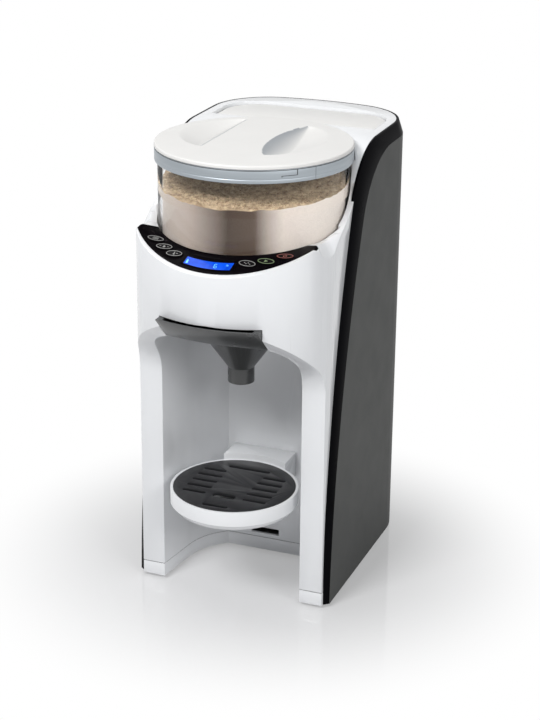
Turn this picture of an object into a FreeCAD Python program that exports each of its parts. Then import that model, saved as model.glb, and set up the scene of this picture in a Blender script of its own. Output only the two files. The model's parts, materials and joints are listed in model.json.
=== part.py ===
"""Baby formula maker: a countertop powder-and-water mixer, as a parametric FreeCAD document.

Frame: origin on the table under the middle of the machine, +Z up, the filling bay faces -Y.
Lengths are in millimetres. The driving sizes are in the spreadsheet "Sizes".
"""
import FreeCAD, Part
import os
import Sketcher
from math import atan2, cos, pi, radians, sin, sqrt, tan
from FreeCAD import Placement, Rotation

SIZES = [
    # alias, value, what it is
    ("body_width", 184.0, "across the side panels"),
    ("body_back", 147.0, "from the middle of the machine to its back"),
    ("rim_top", 402.5, "height of the top rim"),
    ("rim_outer_drop", 12.5, "fall of the trim from its inner to its outer edge at the back"),
    ("trim_inset", 4.0, "how far the trim slopes in from the side panels"),
    ("corner_radius", 60.0, "rear corners in plan"),
    ("back_radius", 260.0, "gentle curve of the back in plan"),
    ("panel_wall", 2.5, "side and back panels"),
    ("wall", 3.0, "mouldings of the housing"),
    ("foot_height", 3.0, "rubber feet"),
    ("seam_height", 15.8, "joint between base and housing"),
    ("hopper_y", -35.0, "axis of the powder container"),
    ("hopper_margin", 9.6, "from the powder container to the outside of the side panels"),
    ("hopper_wall", 2.4, "powder container"),
    ("hopper_height", 76.8, "powder container"),
    ("hopper_gap", 1.0, "round the powder container in its well"),
    ("band_height", 11.4, "band on the container"),
    ("band_proud", 2.6, "band proud of the powder container"),
    ("rim_rise", 0.1, "top rim above the band"),
    ("lid_thick", 3.4, "edge of the lid"),
    ("fascia_depth", 24.6, "fascia in front of the powder container"),
    ("front_corner", 60.0, "front corners in plan"),
    ("panel_margin", 3.5, "white rim round the outer edge of the control panel"),
    ("panel_thick", 2.4, "control panel"),
    ("panel_angle", 54.0, "half the sweep of the control panel, degrees"),
    ("collar_level", 15.4, "front of the panel's inner edge, above the container's underside"),
    ("collar_rise", 13.6, "rise of the inner edge towards the side"),
    ("fascia_level", 4.2, "front of the panel's outer edge, above the container's underside"),
    ("fascia_rise", 54.0, "rise of the outer edge towards the side"),
    ("shoulder_level", 26.4, "white shoulder beside the panel, above the container's underside"),
    ("chin_drop", 40.2, "lower end of the upright fascia, below the container's underside"),
    ("chin_slope", 43.5, "chin against the horizontal, degrees"),
    ("column_front", -86.0, "front face of the columns"),
    ("bay_drop", 23.0, "ceiling of the bottle bay, below the funnel's rim"),
    ("column_width", 27.0, "columns beside the bay at its mouth"),
    ("bay_back", -2.4, "rear wall of the bay"),
    ("arch_radius", 22.0, "upper corners of the bay"),
    ("funnel_half", 46.5, "half the width of the funnel's drawer way"),
    ("funnel_drop", 15.0, "rim of the funnel, below the gear deck"),
    ("spout_radius", 11.7, "outside of the funnel's spout"),
    ("funnel_height", 76.0, "funnel from its rim to the tip of its spout"),
    ("spout_y", -63.0, "axis of the spout"),
    ("deck_drop", 26.2, "underside of the gear deck, below the container's underside"),
    ("gear_module", 1.0, "drive gears"),
    ("tray_y", -78.0, "centre of the drip tray"),
    ("tray_gap", 8.0, "between the drip tray and the sides of the bay"),
    ("tray_top", 102.4, "top of the drip grille"),
    ("tray_height", 18.0, "drip tray"),
    ("tank_drop", 78.2, "underside of the water tank, below the container's underside"),
    ("tank_margin", 16.0, "from the water tank to the outside of the side panels"),
    ("tank_spacing", 8.6, "between the powder container and the water tank"),
    ("tank_back_margin", 31.0, "from the water tank to the back of the machine"),
    ("tank_wall", 2.2, "water tank"),
    ("button_long", 15.0, "button, long way"),
    ("button_short", 7.4, "button, short way"),
    ("button_travel", 0.8, "button stroke"),
    ("seat_gap", 0.3, "between parts that move and what carries them"),
    ("flange_thick", 2.6, "side flanges of the funnel"),
    ("funnel_wall", 2.0, "funnel"),
    ("tongue_half", 13.4, "half the width of the drip tray's tongue"),
    ("tongue_level", 90.0, "underside of the drip tray's tongue"),
    ("tongue_thick", 5.4, "drip tray's tongue"),
    ("screw_radius", 1.75, "base screws"),
    ("chute_radius", 11.0, "outside of the powder chute"),
    ("chute_wall", 2.0, "powder chute"),
    ("shaft_radius", 4.0, "upright shafts of the stirrer and its drive"),
    ("wheel_gap", 4.0, "between the dosing wheel and the container's wall"),
    ("wheel_thick", 8.0, "dosing wheel"),
    ("grille_thick", 2.8, "drip grille"),
    ("slot_width", 4.4, "slots of the drip grille"),
    ("slot_pitch", 12.0, "rows of slots"),
    ("hose_radius", 3.0, "water hoses"),
    ("motor_radius", 18.0, "gear motor"),
    ("motor_length", 34.0, "gear motor"),
    ("gear_teeth", 70.0, "drive gear"),
    ("pinion_teeth", 20.0, "motor pinion"),
    ("gear_thick", 8.0, "drive gears"),
    ("pump_radius", 19.0, "water pump"),
    ("pump_length", 60.0, "water pump"),
]

doc = FreeCAD.newDocument("FormulaMaker")
sheet = doc.addObject("Spreadsheet::Sheet", "Sizes")
for row, (alias, value, note) in enumerate(SIZES, start=1):
    sheet.set(f"A{row}", str(value))
    sheet.set(f"B{row}", note)
    sheet.setAlias(f"A{row}", alias)
doc.recompute()


class Size:
    """A number together with the expression that gives it from the sheet."""

    def __init__(self, value, text=None):
        self.value = float(value)
        self.text = text if text is not None else repr(round(float(value), 6))

    def with_other(self, sign, other, value, swapped=False):
        other = other if isinstance(other, Size) else Size(other)
        first, second = (other, self) if swapped else (self, other)
        return Size(value, f"({first.text} {sign} {second.text})")

    def __float__(self):
        return self.value

    def __add__(self, other):
        return self.with_other("+", other, self.value + float(other))

    def __radd__(self, other):
        return self.with_other("+", other, self.value + float(other), True)

    def __sub__(self, other):
        return self.with_other("-", other, self.value - float(other))

    def __rsub__(self, other):
        return self.with_other("-", other, float(other) - self.value, True)

    def __mul__(self, other):
        return self.with_other("*", other, self.value * float(other))

    __rmul__ = __mul__

    def __truediv__(self, other):
        return self.with_other("/", other, self.value / float(other))

    def __neg__(self):
        return 0 - self


class Sheet:
    """Sheet values by alias, as sizes that remember their expression."""

    def __getattr__(self, alias):
        return Size(getattr(sheet, alias), "Sizes." + alias)


S = Sheet()
NODES = {}

# Sizes that follow from the ones in the sheet, as expressions on its cells
S.half_width = S.body_width / 2
S.hopper_radius = S.half_width - S.hopper_margin
S.hopper_bottom = S.rim_top - S.rim_rise - S.band_height - S.hopper_height
S.band_radius = S.hopper_radius + S.band_proud
S.front_radius = S.hopper_radius + S.fascia_depth
S.panel_outer = S.front_radius - S.panel_margin
S.window_inner = S.hopper_radius + S.hopper_gap + S.wall + 0.2
S.window_outer = S.panel_outer - 1.5
S.wheel_radius = S.hopper_radius - S.hopper_wall - S.wheel_gap
S.collar_front = S.hopper_bottom + S.collar_level
S.fascia_front = S.hopper_bottom + S.fascia_level
S.shoulder_top = S.hopper_bottom + S.shoulder_level
S.chin_top = S.hopper_bottom - S.chin_drop
S.deck_level = S.hopper_bottom - S.deck_drop
S.funnel_top = S.deck_level - S.funnel_drop
S.spout_tip = S.funnel_top - S.funnel_height
S.bay_top = S.funnel_top - S.bay_drop
S.bay_half = S.half_width - S.column_width
S.tray_radius = S.bay_half - S.tray_gap
S.tank_half = S.half_width - S.tank_margin
S.tank_front = S.hopper_y + S.hopper_radius + S.tank_spacing
S.tank_back = S.body_back - S.tank_back_margin
S.tank_bottom = S.hopper_bottom - S.tank_drop


def V(x, y, z):
    return FreeCAD.Vector(float(x), float(y), float(z))


def bind(obj, prop, size):
    """Set a property from a size: bound to the sheet where the size comes from it."""
    if isinstance(size, Size) and "Sizes." in size.text:
        obj.setExpression(prop, size.text)
    elif prop.startswith("Placement.Base."):
        obj.setExpression(prop, repr(float(size)))
    else:
        setattr(obj, prop, float(size))


def keep(obj, name):
    """Give the finished sub-part its Label, which names its file."""
    obj.Label = name
    NODES[name] = obj
    return obj


def set_by_code(name, shape):
    """A sculpted sub-part whose shape comes from Part's own functions."""
    obj = doc.addObject("Part::Feature", name + "_solid")
    obj.Shape = shape
    return keep(obj, name)


def primitive(kind, name, place, turn=None, **lengths):
    """A Part primitive; its lengths and place are expressions on the sheet."""
    solid = doc.addObject("Part::" + kind, name)
    if turn is not None:
        solid.Placement = Placement(V(0, 0, 0), turn)
    for prop, size in lengths.items():
        bind(solid, prop, size)
    for axis, size in zip("xyz", place):
        bind(solid, "Placement.Base." + axis, size)
    return solid


ALONG_X = Rotation(V(0, 1, 0), 90)
ALONG_Y = Rotation(V(1, 0, 0), -90)


def rod(name, x, y, z, radius, height, turn=None):
    """A cylinder from its start point, along +Z or as turned."""
    return primitive("Cylinder", name, (x, y, z), turn, Radius=radius, Height=height)


def block(name, x, y, z, length, width, height):
    """A box by its low corner."""
    return primitive("Box", name, (x, y, z), None, Length=length, Width=width, Height=height)


def less(name, base, *tools):
    """Base with the tools cut out of it."""
    tool = tools[0]
    if len(tools) > 1:
        tool = doc.addObject("Part::MultiFuse", name + "_tools")
        tool.Shapes = list(tools)
    cut = doc.addObject("Part::Cut", name + "_cut")
    cut.Base, cut.Tool = base, tool
    return cut


def joined(name, *solids):
    fuse = doc.addObject("Part::MultiFuse", name + "_joined")
    fuse.Shapes = list(solids)
    return fuse


def apart(name, solids):
    """Several separate solids of one kind in one node."""
    group = doc.addObject("Part::Compound", name + "_group")
    group.Links = list(solids)
    return keep(group, name)


def plane_of(body, role):
    return next(plane for plane in body.Origin.OriginFeatures if plane.Role == role)


def outline_sketch(body, name, role, corners, offset=0.0):
    """A closed sketch of straight sides with every corner bound to the sheet."""
    sketch = body.newObject("Sketcher::SketchObject", name)
    sketch.AttachmentSupport = [(plane_of(body, role), "")]
    sketch.MapMode = "FlatFace"
    if isinstance(offset, Size):
        sketch.setExpression("AttachmentOffset.Base.z", offset.text)
    spots = [V(a, b, 0) for a, b in corners]
    for index, spot in enumerate(spots):
        sketch.addGeometry(Part.LineSegment(spot, spots[(index + 1) % len(spots)]))
    for index in range(len(spots)):
        follower = (index + 1) % len(spots)
        sketch.addConstraint(Sketcher.Constraint("Coincident", index, 2, follower, 1))
    for index, pair in enumerate(corners):
        for kind, size in zip(("DistanceX", "DistanceY"), pair):
            rule = Sketcher.Constraint(kind, -1, 1, index, 1, float(size))
            number = sketch.addConstraint(rule)
            if isinstance(size, Size):
                sketch.setExpression(f"Constraints[{number}]", size.text)
    return sketch


def turned(name, profile, x=0.0, y=0.0):
    """A turned piece: its half section (radius, height), revolved about an upright axis."""
    body = doc.addObject("PartDesign::Body", name + "_body")
    sketch = outline_sketch(body, name + "_section", "XZ_Plane", profile)
    turn = body.newObject("PartDesign::Revolution", name + "_turn")
    turn.Profile = sketch
    turn.ReferenceAxis = (sketch, ["V_Axis"])
    turn.Angle = 360
    bind(body, "Placement.Base.x", x)
    bind(body, "Placement.Base.y", y)
    return body


def padded(name, corners, low, height):
    """A flat piece: its outline in plan, padded upwards from a level."""
    body = doc.addObject("PartDesign::Body", name + "_body")
    level = low if isinstance(low, Size) else Size(low)
    sketch = outline_sketch(body, name + "_outline", "XY_Plane", corners, level)
    pad = body.newObject("PartDesign::Pad", name + "_pad")
    pad.Profile = sketch
    bind(pad, "Length", height)
    return body


# ---------------------------------------------------------------------------------------------
# Curves of the casing
# ---------------------------------------------------------------------------------------------

def arc(start, middle, end):
    return Part.Arc(start, middle, end).toShape()


def line(start, end):
    return Part.LineSegment(start, end).toShape()


def prism(edges, reach):
    """The solid swept by the closed outline along a vector."""
    return Part.Face(Part.Wire(edges)).extrude(reach)


def box(x0, x1, y0, y1, z0, z1):
    """A box between two corners, as a plain shape."""
    low, high = V(x0, y0, z0), V(x1, y1, z1)
    reach = high - low
    return Part.makeBox(reach.x, reach.y, reach.z, low)


def rear_plan(inset, level):
    """The U of the casing's sides and back in plan, from the left front round to the right front."""
    half = float(S.body_width) / 2 - inset
    corner = float(S.corner_radius) - inset
    back = float(S.back_radius) - inset
    hub = half - corner
    swing = sqrt((back - corner) ** 2 - hub ** 2)
    centre_y = float(S.body_back) - inset - back
    start_y = centre_y + swing
    turn = atan2(swing, hub)
    side = V(half, start_y, level)
    mid = V(hub + corner * cos(turn / 2), start_y + corner * sin(turn / 2), level)
    tip = V(hub + corner * cos(turn), start_y + corner * sin(turn), level)
    crown = V(0, centre_y + back, level)

    def left(spot):
        return V(-spot.x, spot.y, spot.z)

    return [arc(left(side), left(mid), left(tip)), arc(left(tip), crown, tip), arc(tip, mid, side)]


def front_plan(inset, level):
    """The head's front in plan: a broad arc about the container axis and a rounder one at each side."""
    hopper_y = float(S.hopper_y)
    front = float(S.front_radius) - inset
    corner = float(S.front_corner) - inset
    half = float(S.body_width) / 2 - float(S.trim_inset) - inset
    hub = half - corner
    drop = sqrt((front - corner) ** 2 - hub ** 2)
    centre_y = hopper_y - drop
    turn = atan2(drop, hub)
    side = V(half, centre_y, level)
    mid = V(hub + corner * cos(turn / 2), centre_y - corner * sin(turn / 2), level)
    tip = V(hub + corner * cos(turn), centre_y - corner * sin(turn), level)
    nose = V(0, hopper_y - front, level)

    def left(spot):
        return V(-spot.x, spot.y, spot.z)

    return [arc(side, mid, tip), arc(tip, nose, left(tip)), arc(left(tip), left(mid), left(side))]


def white_column(inset, low, high):
    """The white moulding's full plan, inset all round, between two levels."""
    low, high = float(low), float(high)
    rear = rear_plan(float(S.trim_inset) + inset, low)
    front = front_plan(inset, low)
    right = line(rear[-1].lastVertex().Point, front[0].firstVertex().Point)
    left = line(front[-1].lastVertex().Point, rear[0].firstVertex().Point)
    return prism(rear + [right] + front + [left], V(0, 0, high - low))


# The leaning front edge of the trim, seen from the side: foot, shoulder, crown (y, z) and the bulge
# of the long lower stretch. The inner edge meets the white moulding, the outer one the side panels.
head_level = float(S.hopper_bottom)
INNER_EDGE = {"foot": (-83.0, 3.0), "shoulder": (-30.0, head_level + 41.8), "bulge": 16.0, "crown_y": 35.0}
OUTER_EDGE = {"foot": (-79.5, 3.0), "shoulder": (-12.0, head_level + 25.8), "bulge": 14.0, "crown_y": 60.0}


def leaning_edge(shape, x, level):
    """Trim edge on one side, from the foot up to the level line and back to the rear corner."""
    foot, shoulder = V(x, *shape["foot"]), V(x, *shape["shoulder"])
    chord = shoulder - foot
    across = V(0, -chord.z, chord.y).normalize()
    belly = foot + chord * 0.5 + across * shape["bulge"]
    long_arc = Part.Arc(foot, belly, shoulder)
    heading = long_arc.tangent(long_arc.LastParameter)[0]
    crown = V(x, shape["crown_y"], level)
    reach = crown - shoulder
    normal = V(0, -heading.z, heading.y)
    radius = reach.dot(reach) / (2 * reach.dot(normal))
    centre = shoulder + normal * radius
    out = (shoulder - centre) + (crown - centre)
    top = centre + out.normalize() * abs(radius)
    corner_y = rear_plan(0, 0)[-1].lastVertex().Point.y
    return [long_arc.toShape(), arc(shoulder, top, crown), line(crown, V(x, corner_y, level))]


def behind_edge(shape, level, x_reach=120.0):
    """Everything behind and below a trim edge, as a solid right across the machine."""
    edges = leaning_edge(shape, -x_reach, level)
    foot = edges[0].firstVertex().Point
    top = edges[-1].lastVertex().Point
    far_y = float(S.body_back) + 20
    far_top, far_foot = V(-x_reach, far_y, level), V(-x_reach, far_y, foot.z)
    round_trip = [line(top, far_top), line(far_top, far_foot), line(far_foot, foot)]
    return prism(edges + round_trip, V(2 * x_reach, 0, 0))


def casing_wrap():
    """Side panels, back and trim as one hollow U, its front and top edge bevelled by the trim."""
    top = float(S.rim_top)
    drop = float(S.rim_outer_drop)
    half = float(S.body_width) / 2
    inset = float(S.trim_inset)
    foot = float(S.foot_height)
    plan = rear_plan(0, foot)
    left_end, right_end = plan[0].firstVertex().Point, plan[-1].lastVertex().Point
    left_front, right_front = V(left_end.x, -200, foot), V(right_end.x, -200, foot)
    sides = [line(right_end, right_front), line(right_front, left_front), line(left_front, left_end)]
    full = prism(plan + sides, V(0, 0, top - foot)).common(behind_edge(INNER_EDGE, top))
    slopes = []
    for sign in (-1, 1):
        inner = leaning_edge(INNER_EDGE, sign * (half - inset), top)
        outer = leaning_edge(OUTER_EDGE, sign * half, top - drop)
        slopes += [Part.makeRuledSurface(a, b) for a, b in zip(inner, outer)]
    inner_back = rear_plan(inset, top)
    outer_back = rear_plan(0, top - drop)
    slopes += [Part.makeRuledSurface(a, b) for a, b in zip(inner_back, outer_back)]
    pieces = full.generalFuse(slopes)[0].Solids
    bevelled = max(pieces, key=lambda solid: solid.Volume)
    return bevelled


def inside_wrap(inset):
    """The room inside the casing wrap, a U in plan that is open at the front, top and bottom."""
    level = -1.0
    plan = rear_plan(inset, level)
    left_end, right_end = plan[0].firstVertex().Point, plan[-1].lastVertex().Point
    left_front, right_front = V(left_end.x, -210, level), V(right_end.x, -210, level)
    sides = [line(right_end, right_front), line(right_front, left_front), line(left_front, left_end)]
    return prism(plan + sides, V(0, 0, float(S.rim_top) + 10))


# ---------------------------------------------------------------------------------------------
# The sloping crescent round the container, which carries the control panel
# ---------------------------------------------------------------------------------------------

def crescent_height(radius, angle):
    """Height of the crescent at a radius and an angle (degrees) off the front, about the container."""
    lift = 1 - cos(radians(angle))
    inner = float(S.collar_front) + float(S.collar_rise) * lift
    outer = float(S.fascia_front) + float(S.fascia_rise) * lift
    well = float(S.hopper_radius) + float(S.hopper_gap)
    share = (radius - well) / (float(S.panel_outer) - well)
    return inner + share * (outer - inner)


def crescent_spot(radius, angle, sink=0.0):
    turn = radians(angle)
    height = crescent_height(radius, angle) - sink
    return V(radius * sin(turn), float(S.hopper_y) - radius * cos(turn), height)


def crescent_tilt(radius, angle):
    """Rotation that lays local Z along the crescent's normal, local X along its sweep."""
    along = crescent_spot(radius, angle + 0.5) - crescent_spot(radius, angle - 0.5)
    outwards = crescent_spot(radius + 0.5, angle) - crescent_spot(radius - 0.5, angle)
    up = outwards.cross(along).normalize()
    if up.z < 0:
        up = up * -1
    return Rotation(along, up.cross(along), up, "ZXY")


RIM_STEPS = 16


def crescent_slab(inner, outer, start, end, sink, thick):
    """A slab of the crescent between two radii and two angles; sink is the depth of its top."""
    shares = [step / RIM_STEPS for step in range(RIM_STEPS + 1)]
    rims = []
    for radius in (inner, outer):
        curve = Part.BSplineCurve()
        row = [crescent_spot(radius, start + (end - start) * share, sink + thick) for share in shares]
        curve.interpolate(Points=row, Parameters=shares)
        rims.append(curve.toShape())
    return Part.makeRuledSurface(*rims).extrude(V(0, 0, thick))


def above_crescent(sink):
    """Everything above the crescent sunk by a depth, and above the shoulders beside it."""
    slab = crescent_slab(float(S.hopper_radius) - 4, 150.0, -80.0, 80.0, sink - 150, 150)
    shoulder = box(-150, 150, -250, float(S.hopper_y) - 27, float(S.shoulder_top) - sink, 600)
    return slab, shoulder


# ---------------------------------------------------------------------------------------------
# Main housing: one white moulding of columns, bay, head and top deck
# ---------------------------------------------------------------------------------------------

def chin_cutter(inset):
    """What lies in front of the columns and under the fascia; inset moves its surface inwards."""
    front = float(S.hopper_y) - float(S.front_radius)
    column = float(S.column_front) + inset
    slope = radians(float(S.chin_slope))
    top = float(S.chin_top) + inset * tan(slope / 2 + pi / 4) - inset
    lean = V(0, cos(slope), -sin(slope))
    blend = 40.0
    start = V(-150, front + inset, top)
    run = (column - front - inset) / lean.y
    meet = start + lean * run
    tangent = blend * tan((pi / 2 - slope) / 2)
    from_slope = meet - lean * tangent
    to_column = meet - V(0, 0, tangent)
    bend = pi / 2 - slope
    centre = to_column - V(0, blend, 0)
    middle = centre + V(0, cos(bend / 2), sin(bend / 2)) * blend
    far = V(-150, -260, top)
    low = V(-150, -260, -20)
    return prism([line(far, start), line(start, from_slope), arc(from_slope, middle, to_column),
                  line(to_column, V(-150, column, -20)), line(V(-150, column, -20), low), line(low, far)],
                 V(300, 0, 0))


def bay_plan(inset, level):
    """Half-open bay in plan: flared sides, curved rear corners and a flat rear wall."""
    half = float(S.bay_half) + inset
    back = float(S.bay_back) + inset
    mouth, bend, flat = V(half + 1, -90, level), V(half - 5, -42, level), V(37 + inset, back, level)
    elbow = V(half - 13.5, -18, level)

    def left(spot):
        return V(-spot.x, spot.y, spot.z)

    front = V(half + 1, -260, level)
    return [line(front, mouth), line(mouth, bend), arc(bend, elbow, flat), line(flat, left(flat)),
            arc(left(flat), left(elbow), left(bend)), line(left(bend), left(mouth)),
            line(left(mouth), left(front)), line(left(front), front)]


def bay_cutter(inset, low, high, arch):
    """The bay as a solid; its upper corners are rounded to the arch seen from the front."""
    bay = prism(bay_plan(inset, low), V(0, 0, high - low))
    if arch <= 0:
        return bay
    half = float(S.bay_half) + inset + 1
    y = -270
    bend = arch * (1 - cos(pi / 4))
    edges = [line(V(-half, y, low), V(-half, y, high - arch)),
             arc(V(-half, y, high - arch), V(-half + bend, y, high - bend), V(-half + arch, y, high)),
             line(V(-half + arch, y, high), V(half - arch, y, high)),
             arc(V(half - arch, y, high), V(half - bend, y, high - bend), V(half, y, high - arch)),
             line(V(half, y, high - arch), V(half, y, low)), line(V(half, y, low), V(-half, y, low))]
    return bay.common(prism(edges, V(0, 400, 0)))


def collar_cutter():
    """Room above the shoulders where the white sides climb towards the top deck."""
    shoulder = V(-150, -62, float(S.shoulder_top) - 1.4)
    climb = V(-150, -38, float(S.shoulder_top) + 11.4)
    merge = V(-150, -20, float(S.shoulder_top) + 30.4)
    high = V(-150, -20, 600)
    front = V(-150, -62, 600)
    edges = [arc(shoulder, climb, merge), line(merge, high), line(high, front), line(front, shoulder)]
    return prism(edges, V(300, 0, 0))


TANK_CLEARANCE = 1.5
RAIL_DEPTH = 3.2
SCREW_X, SCREW_REAR_X = float(S.half_width) - 10.5, float(S.half_width) - 32.0
SCREW_FRONT_Y, SCREW_REAR_Y = -60.0, float(S.body_back) - 47
LOWER_SLOT_Z = 20.0
CHUTE_Y = -88.0


def tank_plan(gap, low, high):
    """The water tank in plan with round rear corners, grown by a gap, between two levels."""
    low, high = float(low), float(high)
    half, front, back = float(S.tank_half) + gap, float(S.tank_front) - gap, float(S.tank_back) + gap
    corner = 32.0 + gap
    bend = corner * (1 - cos(pi / 4))
    right = [V(half, front, low), V(half, back - corner, low), V(half - bend, back - bend, low),
             V(half - corner, back, low)]
    left = [V(-spot.x, spot.y, spot.z) for spot in right]
    edges = [line(left[0], right[0]), line(right[0], right[1]), arc(*right[1:]), line(right[3], left[3]),
             arc(*left[:0:-1]), line(left[1], left[0])]
    return prism(edges, V(0, 0, high - low))


def main_housing(trim):
    """The white moulding, hollow, with its bay, funnel way, container well and tank opening."""
    wall, seam, top = float(S.wall), float(S.seam_height), float(S.rim_top)
    axis = V(0, S.hopper_y, 0)
    well_radius = float(S.hopper_radius) + float(S.hopper_gap)
    well_floor = float(S.hopper_bottom) - 0.2
    half_way = float(S.funnel_half)
    deck = float(S.deck_level)
    hopper_rim = float(S.hopper_bottom) + float(S.hopper_height)
    bay_top, rear = float(S.bay_top), float(S.bay_back) + wall

    head_room = box(-150, 150, -260, -20, 0, 360)
    solid = white_column(0, seam, top).common(behind_edge(INNER_EDGE, top).fuse(head_room))
    pot = Part.makeCylinder(well_radius + wall, 300, axis + V(0, 0, well_floor - wall))
    solid = solid.cut(box(-150, 150, rear, 300, -10, top - 22).cut(pot))
    solid = solid.cut(chin_cutter(0))
    solid = solid.cut(bay_cutter(0, -10, bay_top, float(S.arch_radius)))

    hollow = white_column(wall, -10, top - 6)
    hollow = hollow.cut(chin_cutter(wall))
    hollow = hollow.cut(bay_cutter(wall, -20, bay_top + wall, 0))
    hollow = hollow.cut(box(-half_way - wall, half_way + wall, -260, rear - 10, 0, deck))
    for upper in above_crescent(float(S.panel_thick) + wall):
        hollow = hollow.cut(upper)
    hollow = hollow.cut(box(-150, 150, -260, rear, float(S.shoulder_top), 600))
    collar_room = Part.makeCylinder(float(S.band_radius) + 1.2, 60, axis + V(0, 0, hopper_rim - 2))
    collar_base = axis + V(0, 0, hopper_rim - 2 - wall)
    collar_wall = Part.makeCylinder(float(S.band_radius) + 1.2 + wall, 60, collar_base)
    under_edge = behind_edge(INNER_EDGE, top)
    under_edge.translate(V(0, 2 * wall, -2 * wall))
    hollow = hollow.common(under_edge.fuse(box(-150, 150, -260, rear, -20, float(S.shoulder_top))))
    hollow = hollow.cut(pot).cut(collar_wall)
    solid = solid.cut(hollow).cut(collar_room)

    for upper in above_crescent(0):
        solid = solid.cut(upper)
    solid = solid.cut(collar_cutter())
    solid = solid.cut(Part.makeCylinder(well_radius, 300, axis + V(0, 0, well_floor)))
    solid = solid.cut(crescent_slab(well_radius - 1, float(S.panel_outer), -float(S.panel_angle),
                                    float(S.panel_angle), -1, float(S.panel_thick) + 1))
    window = float(S.panel_angle) - 6
    window_depth = wall + float(S.panel_thick) + 2
    solid = solid.cut(crescent_slab(float(S.window_inner), float(S.window_outer), -window, window,
                                    -1, window_depth))
    solid = solid.cut(tank_plan(TANK_CLEARANCE, top - 30, top + 10))
    lip_way = float(S.funnel_top) + 0.6
    solid = solid.cut(box(-half_way, half_way, -260, rear - 10 - wall, bay_top - 20, lip_way))
    upper_way = box(-half_way, half_way, -200, rear - 10 - wall, bay_top - 20, deck)
    inside_fascia = Part.makeCylinder(float(S.front_radius) - wall, deck, axis)
    solid = solid.cut(upper_way.common(inside_fascia))
    rail_top = float(S.funnel_top) - float(S.flange_thick) - float(S.seat_gap)
    for side in (-1, 1):
        inner, outer = sorted((side * (half_way - RAIL_DEPTH), side * (half_way + 1)))
        solid = solid.fuse(box(inner, outer, -108, rear - 12, rail_top - wall, rail_top))
        post = V(side * SCREW_X, SCREW_FRONT_Y, seam)
        solid = solid.fuse(Part.makeCylinder(5, 25, post).common(white_column(0.5, seam, 60)))
        solid = solid.cut(Part.makeCylinder(float(S.screw_radius), 14, post))
    for low in (float(S.tongue_level), LOWER_SLOT_Z):
        slot = float(S.tongue_half) + 0.4
        solid = solid.cut(box(-slot, slot, -10, 10, low - 0.4, low + float(S.tongue_thick) + 0.4))
    for y, radius in ((float(S.hopper_y), 7.0), (CHUTE_Y, float(S.chute_radius) + 0.1)):
        solid = solid.cut(Part.makeCylinder(radius, 20, V(0, y, well_floor - 10)))
    return solid.cut(trim).removeSplitter()


wrap = casing_wrap()
outer_behind = behind_edge(OUTER_EDGE, float(S.rim_top) - float(S.rim_outer_drop))
trim_depth = float(S.trim_inset) + float(S.panel_wall)
trim_shape = wrap.cut(outer_behind).cut(inside_wrap(trim_depth))
panels_shape = wrap.common(outer_behind).cut(inside_wrap(float(S.panel_wall)))
housing_shape = main_housing(trim_shape)
set_by_code("main_housing", housing_shape)
set_by_code("rim_trim", trim_shape)


# ---------------------------------------------------------------------------------------------
# Side panels, back panel, base
# ---------------------------------------------------------------------------------------------

GLAND_X, GLAND_Z = float(S.half_width) - 47, 28.0


def back_zone():
    """The stretch of the wrap that the back panel takes."""
    reach = float(S.half_width) - 32
    return box(-reach, reach, 100, 200, 0, 600)


def vents():
    """Rows of louvre slots low in the back panel."""
    rows = [box(-50, 22, 120, 200, 50 + 8 * row, 53 + 8 * row) for row in range(6)]
    return rows[0].multiFuse(rows[1:])


gland_hole = Part.makeCylinder(8.05, 60, V(GLAND_X, 120, GLAND_Z), V(0, 1, 0))
set_by_code("back_panel", panels_shape.common(back_zone()).cut(vents()).cut(gland_hole))
for solid in panels_shape.cut(back_zone()).Solids:
    side = "left" if solid.CenterOfMass.x < 0 else "right"
    set_by_code("side_panel_" + side, solid)


def base_plate():
    """Shallow white tray under the machine, with the bay's outline at the front."""
    foot, seam, wall = float(S.foot_height), float(S.seam_height), float(S.wall)
    reach = float(S.trim_inset) - float(S.panel_wall)
    rear_half = box(-150, 150, 0, 300, 0, 30)
    solid = white_column(0, foot, seam).fuse(white_column(-reach, foot, seam).common(rear_half))
    solid = solid.cut(chin_cutter(0)).cut(bay_cutter(0, -10, 60, 0))
    hollow = white_column(wall, foot + wall, seam + 1).cut(bay_cutter(wall, -20, 60, 0))
    solid = solid.cut(hollow.cut(box(-150, 150, -260, float(S.column_front) + wall, 0, 60)))
    for x, y in SCREW_SPOTS:
        post = Part.makeCylinder(5.5, seam - foot - 0.5 if y < 0 else wall, V(x, y, foot))
        solid = solid.fuse(post.common(white_column(0, 0, seam)))
        solid = solid.cut(Part.makeCylinder(float(S.screw_radius) + 0.1, 40, V(x, y, 0)))
        solid = solid.cut(Part.makeCylinder(3.8, 2.6, V(x, y, foot)))
    return solid.cut(trim_shape).removeSplitter()


SCREW_SPOTS = [(side * x, y) for side in (-1, 1)
               for x, y in ((SCREW_X, SCREW_FRONT_Y), (SCREW_REAR_X, SCREW_REAR_Y))]
set_by_code("base_plate", base_plate())

FOOT_RADIUS, REAR_FOOT_Y = 8.0, float(S.body_back) - 63
FOOT_SPOTS = [(side * (float(S.half_width) - inset), y) for inset, y in ((15.0, -66.0), (28.0, REAR_FOOT_Y))
              for side in (-1, 1)]
feet = [rod(f"foot_{index}", x, y, 0, FOOT_RADIUS, S.foot_height)
        for index, (x, y) in enumerate(FOOT_SPOTS)]
apart("rubber_feet", feet)

screws = []
for index, (x, y) in enumerate(SCREW_SPOTS):
    head = rod(f"screw_head_{index}", x, y, S.foot_height + 0.3, 3.5, 2.3)
    reach = 20.0 if y < 0 else 8.0
    shank = rod(f"screw_shank_{index}", x, y, S.foot_height + 0.3, S.screw_radius, reach)
    screws.append(joined(f"screw_{index}", head, shank))
apart("base_screws", screws)


# ---------------------------------------------------------------------------------------------
# Chassis frame: carries the tank seat, the pump and the heater
# ---------------------------------------------------------------------------------------------

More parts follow.
